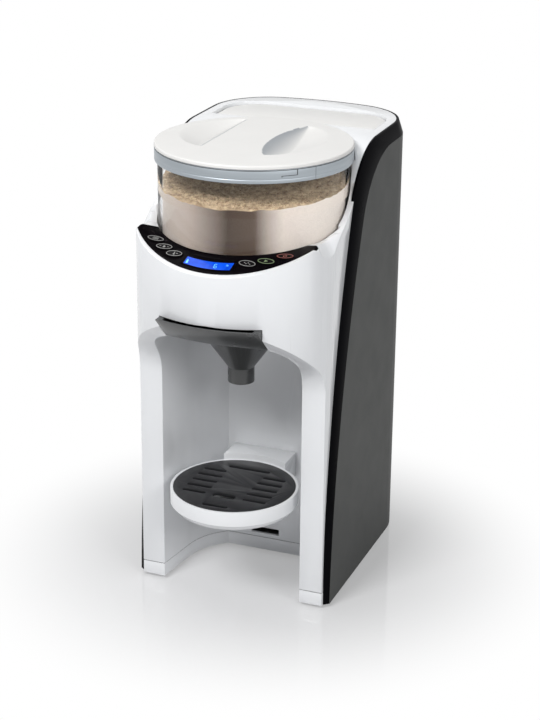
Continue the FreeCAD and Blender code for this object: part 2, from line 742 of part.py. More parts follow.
FRAME_Y = 48.0
TANK_OUTLET_Y = float(S.tank_back) - 28
shelf_top = S.tank_bottom - 3
floor_top = S.foot_height + S.wall
upright_half, shelf_half = S.half_width - 18, S.half_width - 16
frame_depth = S.body_back - 37 - FRAME_Y
upright = block("frame_upright", -upright_half, FRAME_Y, floor_top, upright_half * 2, S.wall,
                shelf_top - floor_top)
shelf = block("frame_shelf", -shelf_half, FRAME_Y, shelf_top - S.wall, shelf_half * 2, frame_depth,
              S.wall)
sole = block("frame_sole", -upright_half, FRAME_Y, floor_top, upright_half * 2, frame_depth, S.wall)
ribs = [block(f"frame_rib_{side}", x, FRAME_Y, shelf_top - 70, S.wall, frame_depth + 8, 70)
        for side, x in (("left", 5 - upright_half), ("right", upright_half - 8))]
frame_body = joined("frame", upright, shelf, sole, *ribs)
HEATER_X, PUMP_X = S.half_width - 46, 54 - S.half_width
hose_level = shelf_top - 18
hose_hole = rod("frame_hose_hole", HEATER_X, FRAME_Y - 5, hose_level, S.hose_radius + 0.5, 20, ALONG_Y)
seat_hole = rod("frame_seat_hole", 0, TANK_OUTLET_Y, shelf_top - 20, 14.1, 40)
frame_screws = [rod(f"frame_screw_hole_{index}", x, y, 0, S.screw_radius, 20)
                for index, (x, y) in enumerate(SCREW_SPOTS) if y > 0]
keep(less("chassis_frame", frame_body, hose_hole, seat_hole, *frame_screws), "chassis_frame")


# ---------------------------------------------------------------------------------------------
# Powder unit
# ---------------------------------------------------------------------------------------------

inner_radius = S.hopper_radius - S.hopper_wall
hopper_top = S.hopper_bottom + S.hopper_height
hopper_floor = S.hopper_bottom + S.hopper_wall + 0.6
shaft_hole = S.shaft_radius + 0.05
cup = turned("container", [(shaft_hole, S.hopper_bottom), (S.hopper_radius, S.hopper_bottom),
                           (S.hopper_radius, hopper_top), (inner_radius, hopper_top),
                           (inner_radius, hopper_floor), (shaft_hole, hopper_floor)], 0, S.hopper_y)
outlet = rod("container_outlet", 0, CHUTE_Y, S.hopper_bottom - 2, S.chute_radius - S.chute_wall, 10)
keep(less("powder_container", cup, outlet), "powder_container")

band_top = hopper_top + S.band_height
keep(turned("band", [(inner_radius, hopper_top), (S.band_radius, hopper_top), (S.band_radius, band_top),
                     (inner_radius, band_top)], 0, S.hopper_y), "container_band")

lid_low = band_top + 0.2
lid_top = lid_low + S.lid_thick
skirt_outer, skirt_inner = inner_radius - 1.0, inner_radius - 3.5
lid_radius, skirt_low = S.band_radius + 0.1, lid_low - 6.5
lid_disc = turned("lid", [(0.0, lid_low), (skirt_inner, lid_low), (skirt_inner, skirt_low),
                          (skirt_outer, skirt_low), (skirt_outer, lid_low), (lid_radius, lid_low),
                          (lid_radius, lid_top), (0.0, lid_top)], 0, S.hopper_y)
seal_bore, seal_lip = skirt_outer + 0.05, inner_radius - 0.3
keep(turned("seal", [(seal_bore, lid_low - 5.5), (seal_lip, lid_low - 5.0),
                     (seal_lip, lid_low - 2.0), (seal_bore, lid_low - 1.5)], 0, S.hopper_y), "lid_seal")


SCOOP_REACH = 48.0


def scoop(side, grow):
    """Finger recess beside the grip bar: deep at the bar, rising to the lid's edge."""
    top = float(lid_top) + (0.5 if grow == 0 else -float(S.lid_thick) / 2)
    deep = float(lid_top) - 12.0 - grow
    bar = 24.0 - grow
    spots = [V(side * bar, -80, top), V(side * bar, -80, deep), V(side * (bar + 8), -80, deep - 0.5),
             V(side * (66 + grow), -80, float(lid_top) - 1 - grow), V(side * (66 + grow), -80, top)]
    wedge = Part.Face(Part.makePolygon(spots + spots[:1])).extrude(V(0, 160, 0))
    wedge.translate(V(0, S.hopper_y, 0))
    barrel = Part.makeCylinder(66 + grow, 60, V(0, S.hopper_y, lid_top - 40))
    reach, middle = SCOOP_REACH + grow, float(S.hopper_y)
    return wedge.common(barrel).common(box(-100, 100, middle - reach, middle + reach, 300, 500))


doc.recompute()
lid_solid = lid_disc.Shape.copy()
for side in (-1, 1):
    lid_solid = lid_solid.fuse(scoop(side, 1.8))
for side in (-1, 1):
    lid_solid = lid_solid.cut(scoop(side, 0))
set_by_code("container_lid", lid_solid.removeSplitter())

wheel_low = hopper_floor + S.seat_gap
wheel_top = wheel_low + S.wheel_thick
wheel_disc = turned("wheel", [(S.shaft_radius, wheel_low), (S.wheel_radius, wheel_low),
                              (S.wheel_radius, wheel_top), (S.shaft_radius, wheel_top)], 0, S.hopper_y)
POCKETS = 6
pockets = [rod(f"wheel_pocket_{index}", (float(S.hopper_y) - CHUTE_Y) * sin(2 * pi * index / POCKETS),
               S.hopper_y - (float(S.hopper_y) - CHUTE_Y) * cos(2 * pi * index / POCKETS), wheel_low - 1,
               S.chute_radius - S.chute_wall, S.wheel_thick + 2) for index in range(POCKETS)]
keep(less("dosing_wheel", wheel_disc, *pockets), "dosing_wheel")

hub_low = wheel_top
hub_high = hub_low + 16
scraper_level = hub_low + S.seat_gap
hub = turned("stirrer_hub", [(S.shaft_radius, hub_low), (9.0, hub_low), (9.0, hub_high),
                             (S.shaft_radius, hub_high)], 0, S.hopper_y)
arms = []
for index in range(3):
    arm = block(f"stirrer_arm_{index}", 0, S.hopper_y, hub_low + 8, 70, 3.2, 5)
    arm.Placement.Rotation = Rotation(V(0, 0, 1), 30 + 120 * index)
    arms.append(arm)
stirrer_solid = joined("stirrer", hub, *arms)
stirrer_bore = rod("stirrer_bore", 0, S.hopper_y, hub_low - 1, S.shaft_radius, 40)
keep(less("stirrer", stirrer_solid, stirrer_bore), "stirrer")

shaft_top = hub_low + 20
shoulder_z = S.hopper_bottom - 3.5
shaft = rod("shaft_barrel", 0, S.hopper_y, shoulder_z, S.shaft_radius, shaft_top - shoulder_z)
tongue = block("shaft_tongue", -3.0, S.hopper_y - 1.3, shoulder_z - 5, 6.0, 2.6, 6.0)
keep(joined("container_shaft", shaft, tongue), "container_shaft")

blade = Part.makeCylinder(float(inner_radius), 2.0, V(0, S.hopper_y, scraper_level), V(0, 0, 1), 40)
blade.rotate(V(0, S.hopper_y, 0), V(0, 0, 1), -110)
blade = blade.cut(Part.makeCylinder(38, 10, V(0, S.hopper_y, scraper_level - 2)))
set_by_code("scraper_blade", blade)


# ---------------------------------------------------------------------------------------------
# Drive: gear deck, gears, motor, chute
# ---------------------------------------------------------------------------------------------

deck_top = S.deck_level + S.wall
gear_low = deck_top + 3
gear_y, chute_hole = S.hopper_y, S.chute_radius
pinion_y = gear_y + (S.gear_teeth + S.pinion_teeth) * S.gear_module / 2
NOZZLE_X, NOZZLE_RADIUS = 26.0, 5.0
deck_half = S.funnel_half + S.wall
deck_corners = [(-deck_half, -112.0), (deck_half, -112.0), (deck_half, 34.0), (-deck_half, 34.0)]
deck_plate = padded("deck", deck_corners,
                    S.deck_level, S.wall)
bush_radius = S.shaft_radius + 2.0
deck_holes = [rod("deck_bush_hole", 0, gear_y, S.deck_level - 1, bush_radius, 10),
              rod("deck_pinion_hole", 0, pinion_y, S.deck_level - 1, 4.0, 10),
              rod("deck_chute_hole", 0, CHUTE_Y, S.deck_level - 1, chute_hole, 10),
              rod("deck_nozzle_hole", NOZZLE_X, CHUTE_Y, S.deck_level - 1, NOZZLE_RADIUS, 10)]
deck_holes += [rod(f"deck_screw_hole_{side}", x, pinion_y, S.deck_level - 1, 1.5, 10)
               for side, x in (("left", -12.0), ("right", 12.0))]
keep(less("gear_deck", deck_plate, *deck_holes), "gear_deck")
motor_screws = []
for side, x in (("left", -12.0), ("right", 12.0)):
    head = rod(f"motor_screw_head_{side}", x, pinion_y, deck_top, 2.8, 1.6)
    shank = rod(f"motor_screw_shank_{side}", x, pinion_y, S.deck_level, 1.5, S.wall + 1)
    motor_screws.append(joined(f"motor_screw_{side}", head, shank))
apart("motor_screws", motor_screws)

bush_low = S.deck_level - 3
collar_radius, bush_top = bush_radius + 2, deck_top + 1.6
keep(turned("bush", [(shaft_hole, bush_low), (bush_radius, bush_low), (bush_radius, deck_top),
                     (collar_radius, deck_top), (collar_radius, bush_top), (shaft_hole, bush_top)],
            0, gear_y), "shaft_bush")


def gear(teeth, bore, phase):
    """Spur gear with straight-flanked teeth and a little backlash; phase in tooth pitches."""
    module, thick = float(S.gear_module), float(S.gear_thick)
    teeth = int(round(float(teeth)))
    pitch_radius = module * teeth / 2
    half_tooth = module * pi / 4 - 0.2 * module
    spots = []
    for index in range(teeth):
        middle = 2 * pi * (index + phase) / teeth + pi / 2
        for height, sign in ((-1.25, -1), (0.9, -1), (0.9, 1), (-1.25, 1)):
            radius = pitch_radius + height * module
            width = half_tooth - height * module * tan(radians(20))
            turn = middle + sign * width / pitch_radius
            spots.append(V(radius * cos(turn), radius * sin(turn), 0))
    blank = Part.Face(Part.makePolygon(spots + spots[:1])).extrude(V(0, 0, thick))
    return blank.cut(Part.makeCylinder(float(bore), thick, V(0, 0, 0)))


drive_gear = gear(S.gear_teeth, S.shaft_radius, 0.0)
hub_ring = Part.makeCylinder(float(S.shaft_radius) + 3, 1.2, V(0, 0, -1.2))
hub_ring = hub_ring.cut(Part.makeCylinder(float(S.shaft_radius), 2, V(0, 0, -1.5)))
drive_gear = drive_gear.fuse(hub_ring)
for index in range(5):
    turn = 2 * pi * index / 5
    drive_gear = drive_gear.cut(Part.makeCylinder(7, 20, V(20 * cos(turn), 20 * sin(turn), -5)))
drive_gear.translate(V(0, gear_y, gear_low))
set_by_code("drive_gear", drive_gear)

pinion = gear(S.pinion_teeth, 1.0, 0.5 + float(S.pinion_teeth) / 2 % 1)
pinion = pinion.fuse(Part.makeCylinder(2.5, float(S.gear_thick) + 16, V(0, 0, -16)))
pinion.translate(V(0, pinion_y, gear_low))
set_by_code("motor_pinion", pinion)

head_radius = 6.0
dog_low = gear_low + S.gear_thick + 1.0
barrel = rod("drive_barrel", 0, gear_y, S.deck_level - 5, S.shaft_radius, dog_low - S.deck_level + 6)
dog_top = S.hopper_bottom - 4.5
dog = rod("drive_dog", 0, gear_y, dog_low, head_radius, dog_top - dog_low)
dog_slot = block("drive_dog_slot", -head_radius - 1, gear_y - 1.5, shoulder_z - 5.3, 14, 3.0, 20)
keep(less("drive_shaft", joined("drive_shaft", barrel, dog), dog_slot), "drive_shaft")

motor_low = S.deck_level - S.motor_length
motor_can = rod("motor_can", 0, pinion_y, motor_low, S.motor_radius, S.motor_length)
motor_bore = rod("motor_bore", 0, pinion_y, S.deck_level - 14, 2.55, 20)
motor_taps = [rod(f"motor_tap_{side}", x, pinion_y, S.deck_level - 5, 1.5, 10)
              for side, x in (("left", -12.0), ("right", 12.0))]
keep(less("gear_motor", motor_can, motor_bore, *motor_taps), "gear_motor")

chute_low, chute_top = S.deck_level - 4, S.hopper_bottom - 0.4
chute_bore = S.chute_radius - S.chute_wall
keep(turned("chute", [(chute_bore, chute_low), (S.chute_radius, chute_low), (S.chute_radius, chute_top),
                      (chute_bore, chute_top)], 0, CHUTE_Y), "powder_chute")


# ---------------------------------------------------------------------------------------------
# Funnel: slides out of the head on its two flanges
# ---------------------------------------------------------------------------------------------

FUNNEL_BACK_Y, FLANGE_FRONT_Y = -17.0, -118.0
LIP_BULGE = 6.0


def funnel_slice(level, inset, setback, half):
    """Outline of the funnel's box at a level: straight sides and a gently bowed front."""
    half = half - inset
    front = -float(S.body_back) + setback + inset
    back = FUNNEL_BACK_Y - inset
    side = front + LIP_BULGE
    back_left, back_right = V(-half, back, level), V(half, back, level)
    front_left, front_right = V(-half, side, level), V(half, side, level)
    return Part.Wire([line(back_left, back_right), line(back_right, front_right),
                      arc(front_right, V(0, front, level), front_left), line(front_left, back_left)])


def funnel():
    """Open box with a slanting front lip, a wide cone under it and a short spout."""
    top, wall = float(S.funnel_top), float(S.funnel_wall)
    low = float(S.bay_top) + 2
    lean = (top - low) / tan(radians(float(S.chin_slope)))
    half = float(S.funnel_half) - float(S.seat_gap)
    cone_radius, spout = 41.0, float(S.spout_radius)
    cone_low, tip = float(S.spout_tip) + 14, float(S.spout_tip)
    axis = V(0, S.spout_y, 0)
    box_half = half - RAIL_DEPTH - 0.6
    def slanting_box(width):
        return Part.makeLoft([funnel_slice(low, 0, lean, width), funnel_slice(top, 0, 0, width)], True, True)

    solid, lip = slanting_box(box_half), slanting_box(half)
    solid = solid.fuse(lip.common(box(-60, 60, -160, FLANGE_FRONT_Y, 0, 400)))
    solid = solid.fuse(Part.makeCone(spout, cone_radius, low - cone_low, axis + V(0, 0, cone_low)))
    solid = solid.fuse(Part.makeCylinder(spout, cone_low - tip, axis + V(0, 0, tip)))
    flange = float(S.flange_thick)
    solid = solid.fuse(box(-half, half, FLANGE_FRONT_Y, FUNNEL_BACK_Y, top - flange, top))
    hollow = Part.makeLoft([funnel_slice(low + wall, wall, lean - wall, box_half),
                            funnel_slice(top + 0.01, wall, 0, box_half)], True, True)
    cone_height = low + wall - cone_low + 0.5
    cone = Part.makeCone(spout - wall, cone_radius - wall, cone_height, axis + V(0, 0, cone_low))
    hollow = hollow.fuse(cone)
    hollow = hollow.fuse(Part.makeCylinder(spout - wall, 30, axis + V(0, 0, tip - 10)))
    return solid.cut(hollow).removeSplitter()


set_by_code("funnel", funnel())


# ---------------------------------------------------------------------------------------------
# Drip tray and grille
# ---------------------------------------------------------------------------------------------

tray_low, tray_wall = S.tray_top - S.tray_height, 2.5
ledge = S.tray_top - S.grille_thick
rim_bore, bowl_radius = S.tray_radius - tray_wall, S.tray_radius - 2 * tray_wall
bowl_low = tray_low + tray_wall
dish = turned("dish", [(0.0, tray_low), (S.tray_radius - 4, tray_low), (S.tray_radius, tray_low + 5),
                       (S.tray_radius, S.tray_top), (rim_bore, S.tray_top), (rim_bore, ledge),
                       (bowl_radius, ledge), (bowl_radius, bowl_low), (0.0, bowl_low)], 0, S.tray_y)
RISER_HALF = 30.0
riser_front = S.tray_y + 40
riser = block("tray_riser", -RISER_HALF, riser_front, tray_low, 2 * RISER_HALF,
              S.bay_back - 0.3 - riser_front, S.tray_height + 6)
bowl_room = rod("tray_room", 0, S.tray_y, tray_low - 1, S.tray_radius - 1, S.tray_height + 20)
tongue_start = S.bay_back - 1
tray_tongue = block("tray_tongue", -S.tongue_half, tongue_start, S.tongue_level,
                    S.tongue_half * 2, 9.0, S.tongue_thick)
keep(joined("drip_tray", dish, less("tray_riser", riser, bowl_room), tray_tongue), "drip_tray")


def long_slot(name, x, y, length, width=S.slot_width):
    """Round-ended slot through the grille, along X."""
    half = width / 2
    low, deep = ledge - 1, S.grille_thick + 2
    middle = block(name, x - length / 2 + half, y - half, low, length - width, width, deep)
    ends = [rod(f"{name}_end_{index}", x + side * (length / 2 - half), y, low, half, deep)
            for index, side in enumerate((-1, 1))]
    return [middle] + ends


grille_radius = S.tray_radius - tray_wall - S.seat_gap
plate = rod("grille_plate", 0, S.tray_y, ledge, grille_radius, S.grille_thick)
slots = []
for row in range(-2, 3):
    for side in (-1, 1):
        length = 24.0 if abs(row) < 2 else 22.0
        name = f"grille_slot_{row + 3}_{'left' if side < 0 else 'right'}"
        slots += long_slot(name, side * 28.5, S.tray_y + S.slot_pitch * row, length)
slots += long_slot("grille_slot_front", 0.0, S.tray_y - 45, 24.0)
slots += long_slot("grille_slot_rear", 0.0, S.tray_y + 36, 40.0)
slots += long_slot("grille_drain", 0.0, S.tray_y - 24, 22.0, Size(9.0))
keep(less("drip_grille", plate, *slots), "drip_grille")


# ---------------------------------------------------------------------------------------------
# Water side: tank, lid, float, valve, seat, pump, heater, nozzle, hoses
# ---------------------------------------------------------------------------------------------

FLOAT_X, FLOAT_Y = float(S.tank_half) - 26, float(S.tank_back) - 26
tank_top = S.rim_top - 6.5
spigot_radius, spigot_length = 9.0, 10.0


def water_tank():
    wall, low, top = float(S.tank_wall), float(S.tank_bottom), float(tank_top)
    spigot = Part.makeCylinder(spigot_radius, spigot_length, V(0, TANK_OUTLET_Y, low - spigot_length))
    solid = tank_plan(0, low, top).fuse(spigot)
    solid = solid.cut(tank_plan(-wall, low + wall, top + 1))
    solid = solid.cut(Part.makeCylinder(6.0, 30, V(0, TANK_OUTLET_Y, low - 20)))
    return solid.fuse(Part.makeCylinder(2.0, 100, V(FLOAT_X, FLOAT_Y, low + wall - 0.5)))


set_by_code("water_tank", water_tank())
lid_gap = TANK_CLEARANCE - 0.7
tank_cover = tank_plan(lid_gap, tank_top + 0.2, float(tank_top) + 3.8)
plug = tank_plan(-float(S.tank_wall) - 0.6, float(tank_top) - 4, float(tank_top) + 1)
plug = plug.cut(tank_plan(-float(S.tank_wall) - 3, float(tank_top) - 5, float(tank_top) + 0.2))
grip_y, grip_z = float(S.tank_front), float(tank_top)
grip_notch = box(-14, 14, grip_y - 3, grip_y + 7, grip_z + 2, grip_z + 6)
set_by_code("tank_lid", tank_cover.fuse(plug).cut(grip_notch).removeSplitter())

float_low = S.tank_bottom + S.tank_wall + S.seat_gap
float_high = float_low + 12
keep(turned("float", [(2.3, float_low), (9.0, float_low), (9.0, float_high), (2.3, float_high)],
            FLOAT_X, FLOAT_Y), "tank_float")

valve_low = S.tank_bottom - spigot_length
plate_low = S.tank_bottom + S.tank_wall + 0.1
plate_high = plate_low + 2
keep(turned("valve", [(0.0, valve_low + 2), (5.9, valve_low + 2), (5.9, plate_low), (8.0, plate_low),
                      (8.0, plate_high), (0.0, plate_high)], 0, TANK_OUTLET_Y), "tank_valve")

socket = spigot_radius + 0.3
seat_low = valve_low - 4
flange_top = shelf_top + 1.8
stub_low, cup_low, seal_top = seat_low - 12, seat_low - 3, flange_top + 0.9
keep(turned("seat", [(1.6, seat_low), (1.6, stub_low), (S.hose_radius, stub_low), (S.hose_radius, cup_low),
                     (14.0, cup_low), (14.0, shelf_top), (18.0, shelf_top), (18.0, flange_top),
                     (socket, flange_top), (socket, seat_low)], 0, TANK_OUTLET_Y), "tank_seat")
keep(turned("gasket", [(socket, flange_top), (16.0, flange_top), (16.0, seal_top), (socket, seal_top)],
            0, TANK_OUTLET_Y), "valve_seal")

service_y = FRAME_Y + S.wall + S.pump_radius
pump_low = floor_top + 54
keep(rod("pump_can", PUMP_X, service_y, pump_low, S.pump_radius, S.pump_length), "water_pump")
heater_low, heater_height = S.tank_bottom - 116, 75.0
heater = block("heater_block", HEATER_X - 17, FRAME_Y + S.wall, heater_low, 34, 38, heater_height)
keep(heater, "water_heater")


def hose(name, spots):
    """Hose through the spots: straight runs joined by tangent arcs, as large as the shorter run allows."""
    edges, here = [], spots[0]
    for index in range(1, len(spots) - 1):
        corner = spots[index]
        back, ahead = spots[index - 1] - corner, spots[index + 1] - corner
        trim = 0.45 * min(back.Length, ahead.Length)
        back.normalize()
        ahead.normalize()
        start, end = corner + back * trim, corner + ahead * trim
        spread = back.getAngle(ahead)
        radius = trim * tan(spread / 2)
        middle = (back + ahead).normalize()
        centre = corner + middle * (radius / sin(spread / 2))
        edges += [line(here, start), arc(start, centre - middle * radius, end)]
        here = end
    edges.append(line(here, spots[-1]))
    path = Part.Wire(edges)
    radius = float(S.hose_radius)
    section = Part.Wire([Part.makeCircle(radius, spots[0], spots[1] - spots[0])])
    tube = path.makePipeShell([section], True, False)
    set_by_code(name, tube)
    return path.Length


nozzle_low, nozzle_top = S.funnel_top + 4, deck_top + 9
nozzle_level = nozzle_top - 3.5
nozzle_body = rod("nozzle_body", NOZZLE_X, CHUTE_Y, nozzle_low, NOZZLE_RADIUS, nozzle_top - nozzle_low)
nozzle_bore = rod("nozzle_bore", NOZZLE_X, CHUTE_Y, nozzle_low - 1, 1.6, nozzle_top - nozzle_low - 2)
barb = rod("nozzle_barb", NOZZLE_X, CHUTE_Y, nozzle_level, 2.2, 10.0, ALONG_X)
keep(less("water_nozzle", joined("nozzle", nozzle_body, barb), nozzle_bore), "water_nozzle")

hose_y, crossing = float(service_y), S.tank_bottom - 71
hose("tank_hose", [V(0, TANK_OUTLET_Y, seat_low - 12), V(0, TANK_OUTLET_Y, seat_low - 40),
                   V(0, hose_y, crossing), V(PUMP_X, hose_y, crossing),
                   V(PUMP_X, hose_y, pump_low + S.pump_length)])
hose("pump_hose", [V(PUMP_X, hose_y, pump_low), V(PUMP_X, hose_y, 36), V(HEATER_X, hose_y, 36),
                   V(HEATER_X, hose_y, heater_low)])
hose_x = deck_half + 12.5
hose("nozzle_hose", [V(HEATER_X, hose_y, heater_low + heater_height), V(HEATER_X, hose_y, hose_level),
                     V(HEATER_X, 18, hose_level),
                     V(hose_x, 10, nozzle_level), V(hose_x, CHUTE_Y, nozzle_level),
                     V(NOZZLE_X + 10, CHUTE_Y, nozzle_level)])


# ---------------------------------------------------------------------------------------------
# Controls: panel, lens, display, six oval buttons, mat and board under them
# ---------------------------------------------------------------------------------------------

# name: angle off the front in degrees, distance from the container's well
BUTTONS = {
    "menu_button": (-39.5, 10.4), "volume_button": (-30.6, 10.6), "temperature_button": (-22.2, 11.2),
    "powder_button": (18.6, 10.0), "start_button": (28.0, 10.5), "power_button": (37.8, 10.3),
}
FLANGE = 0.6
LENS_START, LENS_END, LENS_MARGIN, LENS_DEPTH = -15.4, 12.4, 5.2, 10.4


def button_frame(angle, radius):
    """Placement on the crescent with local Z along its normal and local X across the machine."""
    up = crescent_tilt(radius, angle).multVec(V(0, 0, 1))
    across = (V(1, 0, 0) - up * up.x).normalize()
    return Placement(crescent_spot(radius, angle), Rotation(across, up.cross(across), up, "ZXY"))


def oval(long, short, low, high):
    curve = Part.Ellipse(V(0, 0, low), long / 2, short / 2).toShape()
    return Part.Face(Part.Wire([curve])).extrude(V(0, 0, high - low))


def on_crescent(shape, angle, radius):
    placed = shape.copy()
    placed.Placement = button_frame(angle, radius)
    return placed


well_radius = S.hopper_radius + S.hopper_gap
lens_inner = float(well_radius) + LENS_MARGIN
lens_outer = lens_inner + LENS_DEPTH
window_inner, window_outer = float(S.window_inner), float(S.window_outer)
panel_sweep = float(S.panel_angle) - 0.3
panel = crescent_slab(float(well_radius) + 0.4, float(S.panel_outer) - 0.3, -panel_sweep, panel_sweep, 0,
                      float(S.panel_thick) - 0.1)
panel = panel.cut(crescent_slab(lens_inner - 0.2, lens_outer + 0.2, LENS_START - 0.2, LENS_END + 0.2, -2, 10))
long, short, stroke = float(S.button_long), float(S.button_short), float(S.button_travel)
rise = stroke + 0.3
for name, (angle, margin) in BUTTONS.items():
    radius = float(well_radius) + margin
    panel = panel.cut(on_crescent(oval(long + 0.5, short + 0.5, -8, 4), angle, radius))
    cap = oval(long, short, -3.0, rise)
    cap = cap.fuse(oval(long + 2 * FLANGE, short + 2 * FLANGE, -3.2, -2.7))
    set_by_code(name, on_crescent(cap, angle, radius))
set_by_code("control_panel", panel)
set_by_code("display_lens", crescent_slab(lens_inner, lens_outer, LENS_START, LENS_END, 0, 1.4))
set_by_code("display_module", crescent_slab(lens_inner, lens_outer, LENS_START, LENS_END, 1.4, 3.1))

mat_sink = 4.9
mat_sweep = float(S.panel_angle) - 8
set_by_code("keypad_mat", crescent_slab(window_inner + 1.6, window_outer - 2.1, -mat_sweep, mat_sweep,
                                        mat_sink, 1.3))
set_by_code("control_board", crescent_slab(window_inner + 0.6, window_outer - 0.5, -mat_sweep, mat_sweep,
                                            mat_sink + 1.4, 1.6))


# ---------------------------------------------------------------------------------------------
# Mains side
# ---------------------------------------------------------------------------------------------

board_low = floor_top + S.wall + 6
pillars = [rod(f"pillar_{index}", x, y, floor_top + S.wall, 3.0, 6.0)
           for index, (x, y) in enumerate([(-46, 60), (8, 60), (-46, 98), (8, 98)])]
keep(block("board_sheet", -52, 54, board_low, 66, 50, 1.6), "power_board")
apart("board_pillars", pillars)

GLAND_LENGTH = 13.2
gland_base = V(GLAND_X, float(S.body_back) - GLAND_LENGTH, GLAND_Z)
gland = Part.makeCylinder(8.0, GLAND_LENGTH, gland_base, V(0, 1, 0))
gland = gland.fuse(Part.makeCylinder(11.0, 2.6, gland_base, V(0, 1, 0)))
gland = gland.cut(Part.makeCylinder(3.6, 40, gland_base - V(0, 6, 0), V(0, 1, 0)))
set_by_code("cord_gland", gland.removeSplitter())


# ---------------------------------------------------------------------------------------------
# Check and write
# ---------------------------------------------------------------------------------------------

doc.recompute()
faults = [f"{obj.Name} is {state}" for obj in doc.Objects for state in obj.State
          if state in ("Invalid", "Error")]
faults += [f"{name} has no valid shape" for name, obj in NODES.items()
           if obj.Shape.isNull() or not obj.Shape.isValid()]
if faults:
    raise RuntimeError("; ".join(faults))
os.makedirs("parts", exist_ok=True)
for name, obj in NODES.items():
    obj.Shape.exportStep(f"parts/{name}.step")
    print(f"{name}: {len(obj.Shape.Solids)} solid(s), {obj.Shape.Volume / 1000:.1f} cm3")
print(len(NODES), "nodes written")
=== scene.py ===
# %% [markdown]
# # A baby formula maker, dressed for its portrait
# The machine stands on a kitchen worktop. Powder waits in the clear container on top, water in a
# tank at the back, and both fall through a smoky funnel into a bottle that stands on a drip tray.
# The solids come from the CAD model. This lesson gives them finishes, and builds again in Blender
# the pieces whose softness or detail a solid can't carry. Everything is in metres.

# %% Load the machine's solids
import json
from math import atan2, cos, hypot, pi, radians, sin

import bmesh
import bpy
from mathutils import Matrix, Vector, noise
from mathutils.bvhtree import BVHTree

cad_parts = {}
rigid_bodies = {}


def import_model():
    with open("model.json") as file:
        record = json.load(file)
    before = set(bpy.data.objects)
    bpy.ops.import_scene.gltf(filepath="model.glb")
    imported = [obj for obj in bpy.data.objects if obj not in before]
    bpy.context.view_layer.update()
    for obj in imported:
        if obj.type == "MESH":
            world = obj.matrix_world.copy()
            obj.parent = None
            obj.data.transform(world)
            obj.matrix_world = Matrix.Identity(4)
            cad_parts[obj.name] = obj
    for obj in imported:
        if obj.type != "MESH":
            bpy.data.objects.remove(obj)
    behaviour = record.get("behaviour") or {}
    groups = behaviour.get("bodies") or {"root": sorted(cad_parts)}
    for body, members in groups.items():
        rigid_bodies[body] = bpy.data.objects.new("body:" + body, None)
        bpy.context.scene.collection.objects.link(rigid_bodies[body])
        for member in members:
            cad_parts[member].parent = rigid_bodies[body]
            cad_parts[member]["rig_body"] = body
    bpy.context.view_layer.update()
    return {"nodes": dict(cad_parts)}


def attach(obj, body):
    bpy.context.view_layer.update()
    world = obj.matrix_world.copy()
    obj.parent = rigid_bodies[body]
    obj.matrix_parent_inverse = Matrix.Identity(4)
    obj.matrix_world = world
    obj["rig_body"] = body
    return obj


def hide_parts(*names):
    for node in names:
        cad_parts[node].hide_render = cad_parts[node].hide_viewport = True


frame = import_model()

NODES = frame["nodes"]
MM = 0.001
AXIS_Y = -35.0  # the container's axis, in millimetres like every size below that says nothing else

# %% [markdown]
# ## The camera
# A camera is a place, a direction and a lens. Turning it by three angles is error-prone, so the
# three axes of the camera are worked out from where it looks, and written as a matrix.

# %% Camera
CAMERA_SPOT = Vector((0.5606, -1.4385, 0.7903))
LOOKS_AT = Vector((-0.0146, 0.0440, 0.1757))
CAMERA_ROLL = radians(0.5)
LENS_MM = 91.3

def axes_towards(spot, target, roll):
    """Rotation of a camera or lamp at spot that faces target, turned about its own line of sight."""
    sight = (target - spot).normalized()
    right = sight.cross(Vector((0, 0, 1))).normalized()
    up = right.cross(sight)
    across = right * cos(roll) + up * sin(roll)
    above = up * cos(roll) - right * sin(roll)
    return Matrix((across, above, -sight)).transposed().to_4x4()

def placed(name, data):
    """A new object in the scene, for a mesh, a lamp or a camera."""
    made = bpy.data.objects.new(name, data)
    bpy.context.scene.collection.objects.link(made)
    return made

camera_data = bpy.data.cameras.new("camera")
camera_data.lens = LENS_MM
camera_data.sensor_width = 36.0
camera = placed("camera", camera_data)
turned = axes_towards(CAMERA_SPOT, LOOKS_AT, CAMERA_ROLL)
camera.matrix_world = Matrix.Translation(CAMERA_SPOT) @ turned
bpy.context.scene.camera = camera
print("camera", round((LOOKS_AT - CAMERA_SPOT).length, 2), "m away with a", LENS_MM, "mm lens")

# %% [markdown]
# ## Building finishes from nodes
# Every finish starts from one Principled shader. What makes plastic look real is small: the colour
# drifts a little, the gloss is uneven, and the surface carries a fine grain. These three layers are
# noise textures on Object coordinates, so they stay put in the material as a piece moves.

# %% A finish and its layers
def new_finish(name, colour, roughness, **sockets):
    """Material with one Principled shader, and the shader itself."""
    material = bpy.data.materials.new(name)
    material.use_nodes = True
    shader = principled(material)
    shader.inputs["Base Color"].default_value = (*colour, 1.0)
    shader.inputs["Roughness"].default_value = roughness
    for socket, value in sockets.items():
        shader.inputs[socket.replace("_", " ")].default_value = value
    return material, shader

def node(material, kind, **values):
    """Add a node and set its inputs by name."""
    made = material.node_tree.nodes.new("ShaderNode" + kind)
    for name, value in values.items():
        made.inputs[name.replace("_", " ")].default_value = value
    return made

def wire(tree, *ends):
    """Links between sockets, given as start, end, start, end and so on."""
    for start, end in zip(ends[::2], ends[1::2]):
        tree.links.new(start, end)

def link(material, *ends):
    wire(material.node_tree, *ends)

def principled(material):
    return material.node_tree.nodes["Principled BSDF"]

def surface(material, shader_socket):
    """Let a shader be what the material, or the world, shows."""
    end = "World Output" if isinstance(material, bpy.types.World) else "Material Output"
    link(material, shader_socket, material.node_tree.nodes[end].inputs["Surface"])

def maths(material, kind, operation):
    """A Math or VectorMath node set to an operation."""
    made = node(material, kind)
    made.operation = operation
    return made

